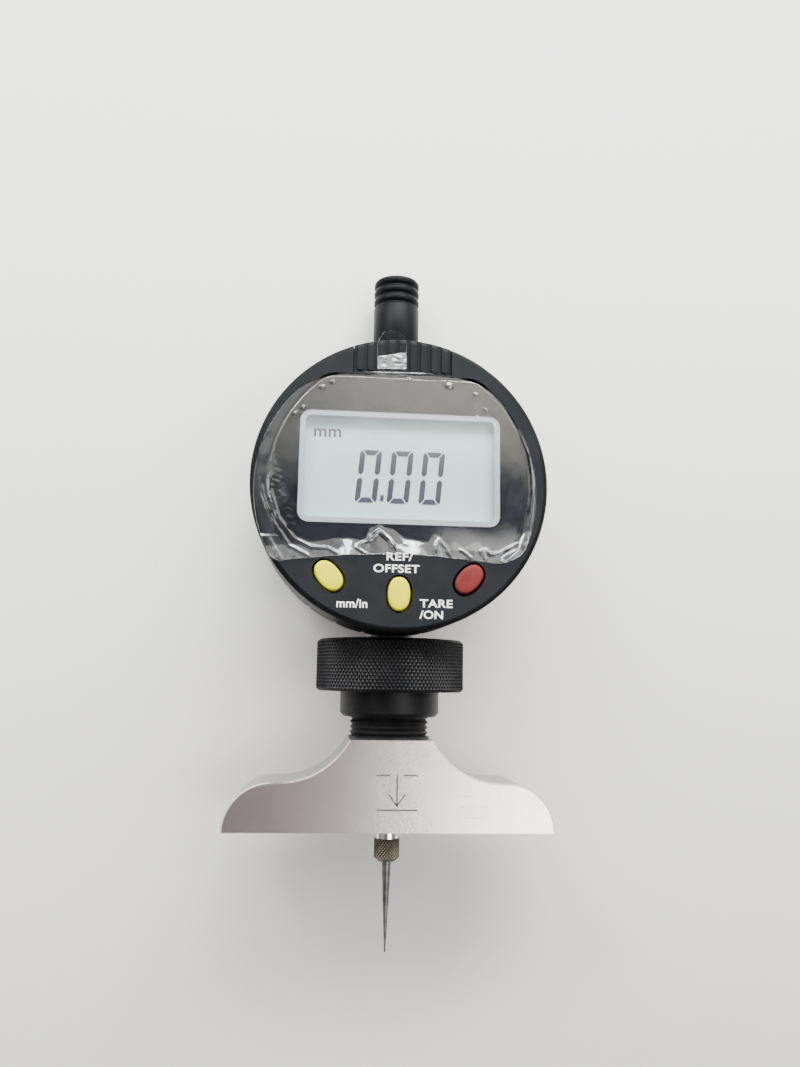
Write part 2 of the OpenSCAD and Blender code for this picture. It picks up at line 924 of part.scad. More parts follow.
// Extension spring that draws the spindle out
module return_spring() {
  p = spring_route();
  n = len(p);
  sides = 6;
  t = [for (i = [0:n - 1]) unit(p[min(i + 1, n - 1)] - p[max(i - 1, 0)])];
  u = [for (i = 0, w = unit(cross(t[0], [0, 1, 0])); i < n;
    i = i + 1, w = i < n ? unit(w - (w * t[i]) * t[i]) : w) w];
  color("lightgray")
    polyhedron(
      points = [for (i = [0:n - 1], k = [0:sides - 1])
        p[i] + wire_r * (cos(k * 360 / sides) * u[i] + sin(k * 360 / sides) * cross(t[i], u[i]))],
      faces = concat(
        [[for (k = [0:sides - 1]) k]],
        [for (i = [0:n - 2], k = [0:sides - 1])
          [i * sides + k, (i + 1) * sides + k, (i + 1) * sides + (k + 1) % sides, i * sides + (k + 1) % sides]],
        [[for (k = [sides - 1:-1:0]) (n - 1) * sides + k]]));
}

module contact_collar() {
  z0 = -spindle_out - collar_len;
  color("#837a63")
  difference() {
    union() {
      rotate_extrude()
        polygon([[0, z0], [collar_r - 0.8, z0], [collar_r, z0 + 0.8], [collar_r, -spindle_out - 0.2],
          [collar_r - 0.2, -spindle_out], [0, -spindle_out]]);
      translate([0, 0, -spindle_out - eps])
        cylinder(h = 5, r = 1.2);
    }
    translate([0, 0, z0 - 1])
      cylinder(h = 4, r = 0.7);
  }
}

module needle_point() {
  z0 = -spindle_out - collar_len;
  color("#6a6a66")
  rotate_extrude()
    polygon([[0, z0 - needle_len], [tip_r, z0 - needle_len], [needle_r, z0 - 0.6], [needle_r, z0], [0.7, z0],
      [0.7, z0 + 3], [0, z0 + 3]]);
}

// -------------------------------------------------------------------- buttons

module button(i) {
  p = button_at[i];
  top = face_fwd + button_proud;
  on_face()
    translate([p[0], p[1], 0])
      rotate([0, 0, p[2]]) {
        translate([0, 0, plate_f - 1.35])
          linear_extrude(1.3)
            oval(button_a + button_gap + 0.3, button_b + button_gap + 0.3);
        translate([0, 0, plate_f - 0.06])
          linear_extrude(top - 0.35 - plate_f + 0.06)
            oval(button_a, button_b);
        translate([0, 0, top - 0.36])
          linear_extrude(0.36)
            oval(button_a - 0.25, button_b - 0.25);
        translate([0, 0, board_front + 2 + button_stroke + 0.1])
          cylinder(h = plate_f - board_front - 3 - button_stroke - 0.1, r = 1.6);
      }
}

module unit_button() {
  color("#e2dc69")
    button(0);
}

module preset_button() {
  color("#e2dc69")
    button(1);
}

module zero_button() {
  color("#b4423c")
    button(2);
}

// -------------------------------------------------------------- battery slide

module battery_cover() {
  color("#303236")
  on_face()
    difference() {
      intersection() {
        rotate_extrude($fn = 180)
          union() {
            square([body_r, face_fwd - rim_round]);
            square([body_r - rim_round, face_fwd]);
            translate([body_r - rim_round, face_fwd - rim_round])
              circle(rim_round, $fn = 48);
          }
        union() {
          translate([-tray_w / 2, cell_up - 3.6, cell_f])
            cube([tray_w, 30, tray_top_f - cell_f]);
          translate([-cover_w / 2, cover_low, tray_top_f + slide_gap])
            cube([cover_w, 30, face_fwd - 0.45 - tray_top_f - slide_gap]);
          translate([-tray_w / 2, cover_low, tray_top_f - eps])
            cube([tray_w, 30, slide_gap + 2 * eps]);
          for (i = [0:grip_ribs - 1])
            translate([(i - (grip_ribs - 1) / 2) * rib_pitch, 0, tray_top_f + 1]) {
              translate([-0.6, cover_low + 0.9, 0])
                cube([1.2, 30, 10]);
              translate([0, cover_low + 0.9, 0])
                cylinder(h = 10, r = 0.6, $fn = 32);
            }
        }
      }
      translate([0, cell_up, cell_f - 1])
        cylinder(h = cell_t + 1.1, r = cell_r + 0.1);
    }
}

module battery() {
  color("gainsboro")
  on_face()
    translate([0, cell_up, cell_f])
      rotate_extrude()
        polygon([[0, 0], [cell_r - 0.9, 0], [cell_r - 0.9, 0.4], [cell_r - 0.2, 0.4], [cell_r, 0.7],
          [cell_r, cell_t - 0.3], [cell_r - 0.3, cell_t], [0, cell_t]]);
}

// ------------------------------------------------------------ protective film

module protective_film() {
  tab_x = -2.25;
  tab_w = 5.9;
  tab_top = body_r + 1.2;
  film_top = window_top + 0.5;
  film_low = -window_bottom - 1.7;
  color("#dfe6ea", 0.3)
  on_face()
    translate([0, 0, face_fwd + 0.22])
      linear_extrude(0.14)
        union() {
          intersection() {
            translate([-1.2, 0])
              circle(window_r + 1.6, $fn = 180);
            translate([-40, film_low])
              square([80, film_top - film_low]);
          }
          translate([tab_x - tab_w / 2, 0])
            square([tab_w, tab_top - tab_w / 2]);
          translate([tab_x, tab_top - tab_w / 2])
            circle(tab_w / 2);
        }
}

base_bridge();
clamp_sleeve();
sleeve_screw();
clamp_ring();
clamp_nut();
stem();
lower_bush();
upper_bush();
rear_case();
back_cover();
cover_screws();
case_screws();
front_case();
dust_cap();
window_lens();
window_mask();
display_frame();
lcd_panel();
connector_strips();
main_board();
board_screws();
processor_chip();
crystal_can();
tact_switches();
contact_minus();
contact_plus();
guide_rail();
rail_screws();
spring_post();
travel_stop();
return_spring();
protective_film();
spindle();
carrier();
carrier_screws();
scale_strip();
guide_pin();
hook_pin();
contact_collar();
needle_point();
unit_button();
preset_button();
zero_button();
battery_cover();
battery();
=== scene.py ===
import math

import bmesh
import bpy
from mathutils import Matrix, Vector, noise


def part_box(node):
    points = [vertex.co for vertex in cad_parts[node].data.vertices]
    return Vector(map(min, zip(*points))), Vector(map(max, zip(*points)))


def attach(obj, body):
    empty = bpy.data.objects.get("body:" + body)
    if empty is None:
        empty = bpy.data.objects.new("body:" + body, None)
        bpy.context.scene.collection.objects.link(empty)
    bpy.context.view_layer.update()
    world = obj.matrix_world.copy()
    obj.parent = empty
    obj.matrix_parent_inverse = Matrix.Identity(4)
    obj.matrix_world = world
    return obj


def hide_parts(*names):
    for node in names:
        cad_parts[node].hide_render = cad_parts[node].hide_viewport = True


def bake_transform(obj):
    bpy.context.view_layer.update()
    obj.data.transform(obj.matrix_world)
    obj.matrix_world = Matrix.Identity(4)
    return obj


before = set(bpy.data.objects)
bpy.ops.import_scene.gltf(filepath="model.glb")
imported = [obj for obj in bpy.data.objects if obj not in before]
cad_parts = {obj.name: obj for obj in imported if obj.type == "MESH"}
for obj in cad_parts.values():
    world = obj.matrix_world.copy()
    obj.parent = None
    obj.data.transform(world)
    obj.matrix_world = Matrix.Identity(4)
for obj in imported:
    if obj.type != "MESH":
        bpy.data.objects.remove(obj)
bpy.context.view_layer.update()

MM = 0.001

# ---------------------------------------------------------------- camera
# A hand camera looks down on the gauge from in front of the bridge base.
# Its lens is the wide one of a telephone.
eye = Vector((-14.32, -182.26, 28.50)) * MM
look_right = Vector((0.9958, -0.0898, 0.0167)).normalized()
look_along = Vector((0.0859, 0.9829, 0.1628))
look_up = look_right.cross(look_along).normalized()
look_along = look_up.cross(look_right).normalized()
camera = bpy.data.cameras.new("camera")
camera.sensor_fit = "AUTO"
camera.angle = math.radians(61.87)
camera.clip_start = 0.01
viewer = bpy.data.objects.new("camera", camera)
viewer.matrix_world = Matrix.Translation(eye) @ Matrix((look_right, look_up, -look_along)).transposed().to_4x4()
bpy.context.collection.objects.link(viewer)
bpy.context.scene.camera = viewer


# ------------------------------------------------- how a finish is described
# A finish is a material that is written as sums. Wire is one value in it, and
# each sign between two wires adds the node that works it out.
class Wire:
    def __init__(self, tree, socket):
        self.tree = tree
        self.socket = socket

    def maths(self, operation, *others):
        node = self.tree.nodes.new("ShaderNodeMath")
        node.operation = operation
        for slot, value in zip(node.inputs, (self, *others)):
            plug(self.tree, slot, value)
        return Wire(self.tree, node.outputs[0])

    def __add__(self, other):
        return self.maths("ADD", other)

    def __mul__(self, other):
        return self.maths("MULTIPLY", other)

    def __sub__(self, other):
        return self.maths("SUBTRACT", other)

    def __rsub__(self, other):
        return (self * -1) + other

    def __truediv__(self, other):
        return self.maths("DIVIDE", other)

    def __pow__(self, other):
        return self.maths("POWER", other)

    __radd__ = __add__
    __rmul__ = __mul__

    def size(self):
        return self.maths("ABSOLUTE")

    def greater(self, other):
        return self.maths("MAXIMUM", other)

    def rise(self, low, high):
        """Nothing below low, all above high, and a smooth ramp between."""
        node = self.tree.nodes.new("ShaderNodeMapRange")
        node.interpolation_type = "SMOOTHSTEP"
        plug(self.tree, node.inputs["Value"], self)
        node.inputs["From Min"].default_value = low
        node.inputs["From Max"].default_value = high
        return Wire(self.tree, node.outputs[0])


def plug(tree, socket, value):
    if isinstance(value, Wire):
        tree.links.new(value.socket, socket)
    elif hasattr(socket.default_value, "__len__") and len(socket.default_value) == 4 and len(value) == 3:
        socket.default_value = (*value, 1.0)
    else:
        socket.default_value = value


class Finish:
    def __init__(self, name, tree=None):
        if tree is None:
            self.material = bpy.data.materials.new(name)
            self.material.use_nodes = True
            tree = self.material.node_tree
        self.tree = tree
        self.shader = tree.nodes.get("Principled BSDF")
        self.places = None

    def node(self, kind, settings=None, inputs=None, output=0):
        made = self.tree.nodes.new(kind)
        for name, value in (settings or {}).items():
            setattr(made, name, value)
        for name, value in (inputs or {}).items():
            plug(self.tree, made.inputs[name], value)
        return Wire(self.tree, made.outputs[output])

    def place(self, scale=(1, 1, 1)):
        """Object coordinates in millimetres, stretched."""
        if self.places is None:
            self.places = self.node("ShaderNodeTexCoord", output="Object")
        return self.node(
            "ShaderNodeMapping",
            inputs={"Vector": self.places, "Scale": [s / MM for s in scale]},
        )

    def axes(self):
        """Object x, y and z in millimetres, each as a wire."""
        split = self.tree.nodes.new("ShaderNodeSeparateXYZ")
        plug(self.tree, split.inputs[0], self.place())
        return [Wire(self.tree, out) for out in split.outputs]

    def grain(self, size, scale=(1, 1, 1), detail=3.0, rough=0.55):
        """Noise whose lumps are about size millimetres, from 0 to 1."""
        return self.node(
            "ShaderNodeTexNoise",
            inputs={"Vector": self.place(scale), "Scale": 1 / size, "Detail": detail, "Roughness": rough},
        )

    def blend(self, share, first, second):
        return self.node(
            "ShaderNodeMix",
            {"data_type": "RGBA"},
            {0: share, 6: first, 7: second},
            output=2,
        )

    def bump(self, height, depth):
        """A relief whose height runs from 0 to 1 and is depth millimetres deep."""
        return self.node(
            "ShaderNodeBump",
            inputs={"Height": height, "Distance": depth * MM, "Strength": 1.0},
        )

    def set(self, **values):
        for name, value in values.items():
            plug(self.tree, self.shader.inputs[name.replace("_", " ")], value)
        return self.material

    def surface(self, shader):
        """Shows this shader in place of the first one."""
        plug(self.tree, self.tree.nodes["Material Output"].inputs["Surface"], shader)


def dress(node, material):
    """Gives a CAD node its finish."""
    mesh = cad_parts[node].data
    mesh.materials.clear()
    mesh.materials.append(material)


# ---------------------------------------------------------- table and lights
# The gauge lies on its back on a white table, on the rims of the clamp nut and
# of the rear cover. The lamps are broad and soft.
nut_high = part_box("clamp_nut")[1]
cover_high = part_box("back_cover")[1]
face_low, face_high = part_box("front_case")
body_r = (face_high.x - face_low.x) / 2
body_z = face_low.z + body_r
face_y = face_low.y
nut_rest = Vector((0, nut_high.y, nut_high.z - 1.5 * MM))
cover_rest = Vector((0, cover_high.y, cover_high.z - 1 * MM))
along_table = (cover_rest - nut_rest).normalized()
table_up = Vector((1, 0, 0)).cross(along_table).normalized()
if table_up.y > 0:
    table_up = -table_up

table_half = 0.9
mesh = bmesh.new()
bmesh.ops.create_grid(mesh, x_segments=8, y_segments=8, size=table_half)
turned = Matrix((Vector((1, 0, 0)), along_table, table_up)).transposed().to_4x4()
if (turned.to_3x3() @ Vector((0, 0, 1))).dot(table_up) < 0 or turned.determinant() < 0:
    turned = Matrix((Vector((-1, 0, 0)), along_table, table_up)).transposed().to_4x4()
mesh.transform(Matrix.Translation(nut_rest - table_up * 0.1 * MM) @ turned)
table_mesh = bpy.data.meshes.new("table")
mesh.to_mesh(table_mesh)
mesh.free()
table = bpy.data.objects.new("table", table_mesh)
bpy.context.collection.objects.link(table)
white = Finish("white_table")
speck = white.grain(9, detail=4)
# The table's colour holds painted light and shade: darker near the gauge as painted shade, lighter towards the
# far end as painted light, with fine real speckles in it.
painted_far_light = white.axes()[2].rise(-100, 150)
speckled_near_shade = white.blend(speck, (0.53, 0.527, 0.517), (0.56, 0.557, 0.546))
white.set(Base_Color=white.blend(painted_far_light, speckled_near_shade, (0.94, 0.94, 0.93)), Roughness=0.6, Specular_IOR_Level=0.1)
behind = white.node("ShaderNodeNewGeometry", output="Backfacing")
clear = white.node("ShaderNodeBsdfTransparent")
seen = white.node(
    "ShaderNodeMixShader",
    inputs={0: behind, 1: Wire(white.tree, white.shader.outputs[0]), 2: clear},
)
white.surface(seen)
table.data.materials.append(white.material)


def lamp(name, place, aim, width, height, watts, colour=(1, 1, 1)):
    light = bpy.data.lights.new(name, "AREA")
    light.shape = "RECTANGLE"
    light.size = width
    light.size_y = height
    light.energy = watts
    light.color = colour
    holder = bpy.data.objects.new(name, light)
    holder.location = place
    holder.rotation_mode = "QUATERNION"
    holder.rotation_quaternion = (Vector(aim) - Vector(place)).to_track_quat("-Z", "Y")
    holder.visible_camera = False
    bpy.context.collection.objects.link(holder)


lamp("ceiling_lamp", (0.30, -0.50, 0.75), (0, 0, 0.06), 0.34, 0.20, 6.3, (1.0, 0.985, 0.96))
lamp("far_lamp", (-0.42, -0.55, 0.62), (0, 0, 0.06), 0.22, 0.20, 4.0, (0.96, 0.98, 1.0))
lamp("window_lamp", (0.0, -0.42, 0.56), (0, 0, 0.24), 0.30, 0.16, 4.5, (1.0, 1.0, 1.0))

world = bpy.data.worlds.new("room")
bpy.context.scene.world = world
world.use_nodes = True
room = Finish("room", world.node_tree)
way = room.tree.nodes.new("ShaderNodeSeparateXYZ")
plug(room.tree, way.inputs[0], room.node("ShaderNodeTexCoord", output="Generated"))
way_x, way_y, way_z = (Wire(room.tree, out) for out in way.outputs)
ahead = (way_y * -1).greater(0.05)
across = way_x / ahead
climb = way_z / ahead
facing = (way_y * -1).rise(0.2, 0.45)
left_shade = 1 - (1 - across.rise(-0.12, 0.12)) * (1 - climb.rise(0.5, 0.8)) * 0.6
ceiling = climb.rise(0.21, 0.37) * left_shade * facing
troffer = climb.rise(0.80, 1.0) * (1 - climb.rise(2.2, 3.5)) * facing
person = (1 - (across - 0.06).size().rise(0.22, 0.42)) * (1 - climb.rise(0.16, 0.32)) * climb.rise(-0.06, 0.02)
arm = (1 - across.rise(0.0, 0.16)) * across.rise(-0.8, -0.5)
arm = arm * (1 - climb.rise(-0.05, 0.04)) * climb.rise(-0.6, -0.35)
left_pane = 1 - (across + 0.80).size().rise(0.10, 0.16)
right_pane = 1 - (across - 0.86).size().rise(0.10, 0.16)
panes = (left_pane + right_pane) * climb.rise(-0.04, 0.04) * (1 - climb.rise(0.8, 0.9)) * facing
low_right = across.rise(0.10, 0.22) * (1 - across.rise(0.8, 1.0)) * (1 - climb.rise(-0.02, 0.06)) * facing
below = 1 - climb.rise(-0.4, -0.2)
wall = room.blend(below, (0.50, 0.50, 0.51), (0.34, 0.335, 0.33))
wall = room.blend(low_right * climb.rise(-0.4, -0.25), wall, (9.0, 8.8, 8.5))
glow = room.blend(ceiling, wall, (3.2, 3.0, 2.65))
glow = room.blend(troffer, glow, (7.5, 7.4, 7.2))
glow = room.blend(panes, glow, (6.5, 6.6, 6.8))
gloom = room.blend(arm * facing * 0.9, glow, (0.24, 0.19, 0.195))
sky = room.blend(person * facing, gloom, (0.022, 0.026, 0.036))
background = room.tree.nodes["Background"]
plug(room.tree, background.inputs["Color"], sky)
background.inputs["Strength"].default_value = 1.0


# ------------------------------------------------------------- bridge base
# A block of steel, milled to the bridge's outline and ground on its faces,
# with its edges just broken. A depth sign is etched where a mark would be.
def ground_steel(name, tint, face_at=None):
    steel = Finish(name)
    fine = steel.grain(0.22, (0.55, 1, 1), detail=4, rough=0.65)
    broad = steel.grain(6, detail=3)
    scratch = steel.grain(0.5, (0.05, 1, 1.6), detail=2).rise(0.66, 0.74)
    colour = steel.blend(broad.rise(0.3, 0.7), tint, [c * 0.90 for c in tint])
    colour = steel.blend(fine.rise(0.35, 0.8) * 0.6, colour, [c * 0.68 for c in tint])
    rough = 0.15 + fine * 0.10 + scratch * 0.1
    if face_at is not None:
        # Behind the ground face, the milled sides are rougher, and their colour is darkened as painted shade.
        milled_and_shaded = steel.axes()[1].rise(face_at + 0.25, face_at + 0.5)
        colour = steel.blend(milled_and_shaded, colour, [c * 0.62 for c in tint])
        rough = rough + milled_and_shaded * 0.12
    return steel.set(
        Base_Color=colour,
        Metallic=1.0,
        Roughness=rough,
        Normal=steel.bump(fine * 0.7 + scratch * 0.3, 0.015),
    )


dress("base_bridge", ground_steel("ground_steel", (0.74, 0.70, 0.685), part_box("base_bridge")[0].y / MM))


def new_piece(name, mesh, material, body, replaced=(), smooth=True, angle=35):
    """Turns a finished bmesh into a piece that rides on a body."""
    bmesh.ops.remove_doubles(mesh, verts=mesh.verts, dist=1e-7)
    data = bpy.data.meshes.new(name)
    mesh.to_mesh(data)
    mesh.free()
    piece = bpy.data.objects.new(name, data)
    bpy.context.collection.objects.link(piece)
    data.materials.append(material)
    if smooth:
        data.shade_smooth()
        data.set_sharp_from_angle(angle=math.radians(angle))
    if body:
        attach(piece, body)
    if replaced:
        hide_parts(*replaced)
    return piece


def face_frame(x=0.0, up=0.0, forward=0.0, lean=0.0):
    """From millimetres across, up and out of the face to the gauge's frame."""
    at = Vector((x * MM, face_y - forward * MM, body_z + up * MM))
    turn = Matrix(((1, 0, 0), (0, 0, -1), (0, 1, 0))).to_4x4()
    return Matrix.Translation(at) @ turn @ Matrix.Rotation(math.radians(lean), 4, "Z") @ Matrix.Scale(MM, 4)


etched = Finish("etched_line")
etched.set(Base_Color=etched.blend(etched.grain(0.15), (0.07, 0.066, 0.058), (0.14, 0.132, 0.12)),
           Metallic=0.6, Roughness=0.6)


def plate_strip(mesh, points, width, thick):
    """A flat line of constant width through the points, in millimetres."""
    for a, b in zip(points, points[1:]):
        a, b = Vector((*a, 0)), Vector((*b, 0))
        made = bmesh.ops.create_cube(mesh, size=1)["verts"]
        run = b - a
        place = Matrix.Translation((a + b) / 2) @ Matrix.Rotation(math.atan2(run.y, run.x), 4, "Z")
        bmesh.ops.scale(mesh, vec=(run.length + width * 0.9, width, thick), verts=made)
        bmesh.ops.transform(mesh, matrix=place, verts=made)


sign = bmesh.new()
line_w = 0.30
line_t = 0.03
shaft = [(1.2, -2.6), (1.2, 3.0)]
head_of_arrow = [(-0.3, -0.6), (1.2, -2.6), (2.7, -0.6)]
ground_line = [(-2.6, -3.4), (5.0, -3.4)]
surface_left = [(-2.6, 3.0), (-0.2, 3.0)]
surface_right = [(2.6, 3.0), (5.0, 3.0)]
for line in (shaft, head_of_arrow, ground_line, surface_left, surface_right):
    plate_strip(sign, line, line_w, line_t)
base_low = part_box("base_bridge")[0]
sign.transform(Matrix.Translation((0, base_low.y - 0.005 * MM, base_low.z + 7.6 * MM))
               @ Matrix(((1, 0, 0), (0, 0, -1), (0, 1, 0))).to_4x4() @ Matrix.Scale(MM, 4))
new_piece("depth_sign", sign, etched.material, "base", smooth=False)


# ---------------------------------------------------------- sleeve and screw
# A sleeve turned from steel screws into the bridge, and a small set screw in
# the back keeps it there. Its long thread takes the clamp nut. Both are blacked.
def dark_steel(name, colour=(0.014, 0.0145, 0.016), wear_from=None):
    black = Finish(name)
    fine = black.grain(0.3, detail=4)
    cloud = black.grain(3.5)
    tone = black.blend(cloud.rise(0.3, 0.75), colour, [c * 1.7 for c in colour])
    rough = 0.36 + cloud * 0.14
    if wear_from is not None:
        x, y, _ = black.axes()
        worn = ((x * x + y * y) ** 0.5).rise(*wear_from) * black.grain(1.2).rise(0.35, 0.7)
        tone = black.blend(worn * 0.6, tone, (0.085, 0.078, 0.066))
        rough = rough - worn * 0.06
    return black.set(Base_Color=tone, Metallic=0.55, Roughness=rough, Specular_IOR_Level=0.25,
                     Normal=black.bump(fine, 0.006))


sleeve_finish = dark_steel("blacked_thread")
dress("clamp_sleeve", sleeve_finish)
screw_finish = dark_steel("blacked_screw", (0.05, 0.05, 0.052))
dress("sleeve_screw", screw_finish)
dress("clamp_ring", ground_steel("turned_ring", (0.6, 0.59, 0.58)))


# ------------------------------------------------------------- clamp nut
# Turned from one bar of steel: a ring with a diamond knurl rolled into it,
# above a plain skirt. Blacked, and rubbed brighter on the points of the knurl.
def lathe(outline, steps):
    """Spins a closed outline of (radius, height) in millimetres round the spindle's axis."""
    mesh = bmesh.new()
    points = [mesh.verts.new((r * MM, 0, z * MM)) for r, z in outline]
    edges = [mesh.edges.new((a, b)) for a, b in zip(points, points[1:] + points[:1])]
    bmesh.ops.spin(mesh, geom=points + edges, cent=(0, 0, 0), axis=(0, 0, 1),
                   angle=2 * math.pi, steps=steps, use_merge=True)
    bmesh.ops.remove_doubles(mesh, verts=mesh.verts, dist=1e-6)
    bmesh.ops.recalc_face_normals(mesh, faces=mesh.faces)
    return mesh


def knurl(mesh, radius, low, rows, row_step, steps, depth):
    """Sinks every second vertex of the band, and joins the sunk ones by the grooves' diagonals."""
    sunk = []
    for v in mesh.verts:
        row = (v.co.z / MM - low) / row_step
        if abs(math.hypot(v.co.x, v.co.y) / MM - radius) > 0.01 or not -0.01 < row < rows + 0.01:
            continue
        column = round(math.atan2(v.co.y, v.co.x) / (2 * math.pi) * steps)
        if (column + round(row)) % 2:
            sunk.append(v)
    for v in sunk:
        v.co.xy *= 1 - depth / radius
    bmesh.ops.connect_verts(mesh, verts=sunk)


def sizes(node):
    low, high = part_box(node)
    return low / MM, high / MM


nut_low_mm, nut_high_mm = sizes("clamp_nut")
nut_r = nut_high_mm.x
skirt_r = 9.9
skirt_h = 4.9
nut_bore = 8.02
lip_r = 6.2
lip_z = nut_high_mm.z - 1.5
ring_z = nut_low_mm.z + skirt_h
nut_steps = 232
nut_rows = 14
knurl_low = ring_z + 0.55
knurl_step = (nut_high_mm.z - 0.6 - knurl_low) / nut_rows
band = [(nut_r, knurl_low + knurl_step * i) for i in range(nut_rows + 1)]
nut = lathe(
    [(nut_bore + 0.4, nut_low_mm.z), (skirt_r - 0.65, nut_low_mm.z), (skirt_r - 0.08, nut_low_mm.z + 0.6),
     (skirt_r, nut_low_mm.z + 0.75), (skirt_r, ring_z - 0.15), (skirt_r + 0.15, ring_z), (nut_r - 0.62, ring_z),
     *band, (nut_r - 0.66, nut_high_mm.z), (lip_r + 0.2, nut_high_mm.z), (lip_r, nut_high_mm.z - 0.2),
     (lip_r, lip_z), (nut_bore, lip_z), (nut_bore, nut_low_mm.z + 0.4)],
    nut_steps,
)
knurl(nut, nut_r, knurl_low, nut_rows, knurl_step, nut_steps, 0.27)
nut_finish = dark_steel("blacked_knurl", (0.0065, 0.0067, 0.0078), (nut_r - 0.14, nut_r + 0.02))
new_piece("knurled_clamp_nut", nut, nut_finish, "clamp_nut", ["clamp_nut"], angle=24)


# -------------------------------------------------------- stem and bushes
# The stem is a ground tube that the collet grips, pressed and glued into the
# case. It is drawn dark all over, as painted shade from the body's lower edge.
# Two sintered bronze bushes guide the spindle, one low and one high.
def bright_steel(name, tint=(0.72, 0.71, 0.69), rough=0.14):
    bright = Finish(name)
    ring = bright.grain(0.4, (0.2, 0.2, 3), detail=3)
    smudge = bright.grain(2.5)
    colour = bright.blend(smudge.rise(0.4, 0.8), tint, [c * 0.86 for c in tint])
    return bright.set(Base_Color=colour, Metallic=1.0, Roughness=rough + smudge * 0.08,
                      Normal=bright.bump(ring, 0.003))


# The stem's dark tone is painted shade; the ground tube itself is bright.
dress("stem", dark_steel("stem_painted_shade", (0.03, 0.03, 0.032)))
bronze = Finish("sintered_bronze")
pores = bronze.grain(0.25, detail=5)
bronze_material = bronze.set(
    Base_Color=bronze.blend(pores.rise(0.4, 0.7), (0.52, 0.33, 0.16), (0.30, 0.17, 0.08)),
    Metallic=1.0, Roughness=0.38 + pores * 0.2, Normal=bronze.bump(pores, 0.02))
dress("lower_bush", bronze_material)
dress("upper_bush", bronze_material)


# ------------------------------------------- rear case, its cover and screws
# The rear half of the body is moulded in black nylon with the bosses for stem,
# bush and rail in it. A flat round cover closes its back with four screws.
def moulded(name, colour, grain_mm=0.16, depth=0.012, rough=0.46, sheen_far=1.35):
    plastic = Finish(name)
    pits = plastic.grain(grain_mm, detail=3, rough=0.6)
    cloud = plastic.grain(7, detail=2)
    rub = plastic.grain(1.6, detail=5, rough=0.7).rise(0.62, 0.78)
    tone = plastic.blend(cloud.rise(0.3, 0.7), colour, [c * sheen_far for c in colour])
    tone = plastic.blend(rub * 0.25, tone, [c * 2.2 for c in colour])
    return plastic.set(Base_Color=tone, Roughness=rough + cloud * 0.08 - rub * 0.08,
                       Specular_IOR_Level=0.07, Normal=plastic.bump(pits, depth))


case_finish = moulded("case_nylon", (0.006, 0.0066, 0.0075))
dress("rear_case", case_finish)
dress("back_cover", moulded("cover_nylon", (0.016, 0.017, 0.018), 0.35, 0.03, 0.5))
zinc = bright_steel("zinc_screw", (0.40, 0.40, 0.42), 0.3)
for node in ("cover_screws", "case_screws", "board_screws", "rail_screws", "carrier_screws",
             "spring_post", "hook_pin"):
    dress(node, zinc)


# ------------------------------------------------------------ front case
# The front half carries the display and the buttons. Its face is fine grained
# and lighter, its rounded rim is smooth, and its wall is notched at the rear.
front = Finish("face_nylon")
fx, fy, fz = front.axes()
far = ((fx * fx + (fz - body_z / MM) * (fz - body_z / MM)) ** 0.5)
rim_starts = far.rise(body_r / MM - 1.05, body_r / MM - 0.9)
on_face = (1 - rim_starts) * (1 - fy.rise(face_y / MM + 0.05, face_y / MM + 0.3))
pits = front.grain(0.13, detail=3, rough=0.6)
cloud = front.grain(6, detail=2)
face_tone = front.blend(cloud.rise(0.3, 0.7), (0.0095, 0.0108, 0.0128), (0.0122, 0.0135, 0.0158))
wall_tone = front.blend(cloud.rise(0.3, 0.7), (0.0035, 0.0038, 0.0045), (0.006, 0.0064, 0.0072))
dress("front_case", front.set(
    Base_Color=front.blend(on_face, wall_tone, face_tone),
    Roughness=0.36 + on_face * 0.16 + cloud * 0.06, Specular_IOR_Level=0.07,
    Normal=front.bump(pits * (0.35 + on_face * 0.65), 0.012)))


# ------------------------------------------------------------- dust cap
# A turned plastic cap over the top of the spindle, screwed on the neck, with
# three rounded grooves near its domed end.
cap_low, cap_high = sizes("dust_cap")
cap_r = cap_high.x
neck_r = sizes("stem")[1].x
cap_top = cap_high.z
cap_bore_top = cap_top - 1.6
dome = [(cap_r - 1.25, cap_top - 0.42), (cap_r - 2.4, cap_top - 0.14), (cap_r - 3.6, cap_top - 0.02),
        (0, cap_top)]
shoulder = [(cap_r - 0.55 * (1 - math.cos(a)), cap_top - 1.35 + 0.8 * math.sin(a))
            for a in (i * math.pi / 8 for i in range(1, 5))]
grooves = []
for i in range(2, -1, -1):
    middle = cap_top - 2.35 - 1.95 * i
    grooves += [(cap_r, middle - 0.62)]
    grooves += [(cap_r + 0.02 - 0.42 * math.cos(a) ** 0.8, middle + 0.36 * math.sin(a))
                for a in (math.radians(d) for d in (-70, -45, -20, 0, 20, 45, 70))]
    grooves += [(cap_r, middle + 0.62)]
cap = lathe(
    [(neck_r + 0.05, cap_low.z), (cap_r - 0.25, cap_low.z), (cap_r, cap_low.z + 0.25),
     *grooves, *shoulder, *dome, (0, cap_bore_top), (3.0, cap_bore_top),
     (3.0, cap_low.z + 4.4), (neck_r + 0.05, cap_low.z + 4.4)],
    96,
)
cap_finish = moulded("cap_plastic", (0.0025, 0.0031, 0.0042), 0.2, 0.01, 0.36)
new_piece("turned_dust_cap", cap, cap_finish, "head", ["dust_cap"], angle=50)


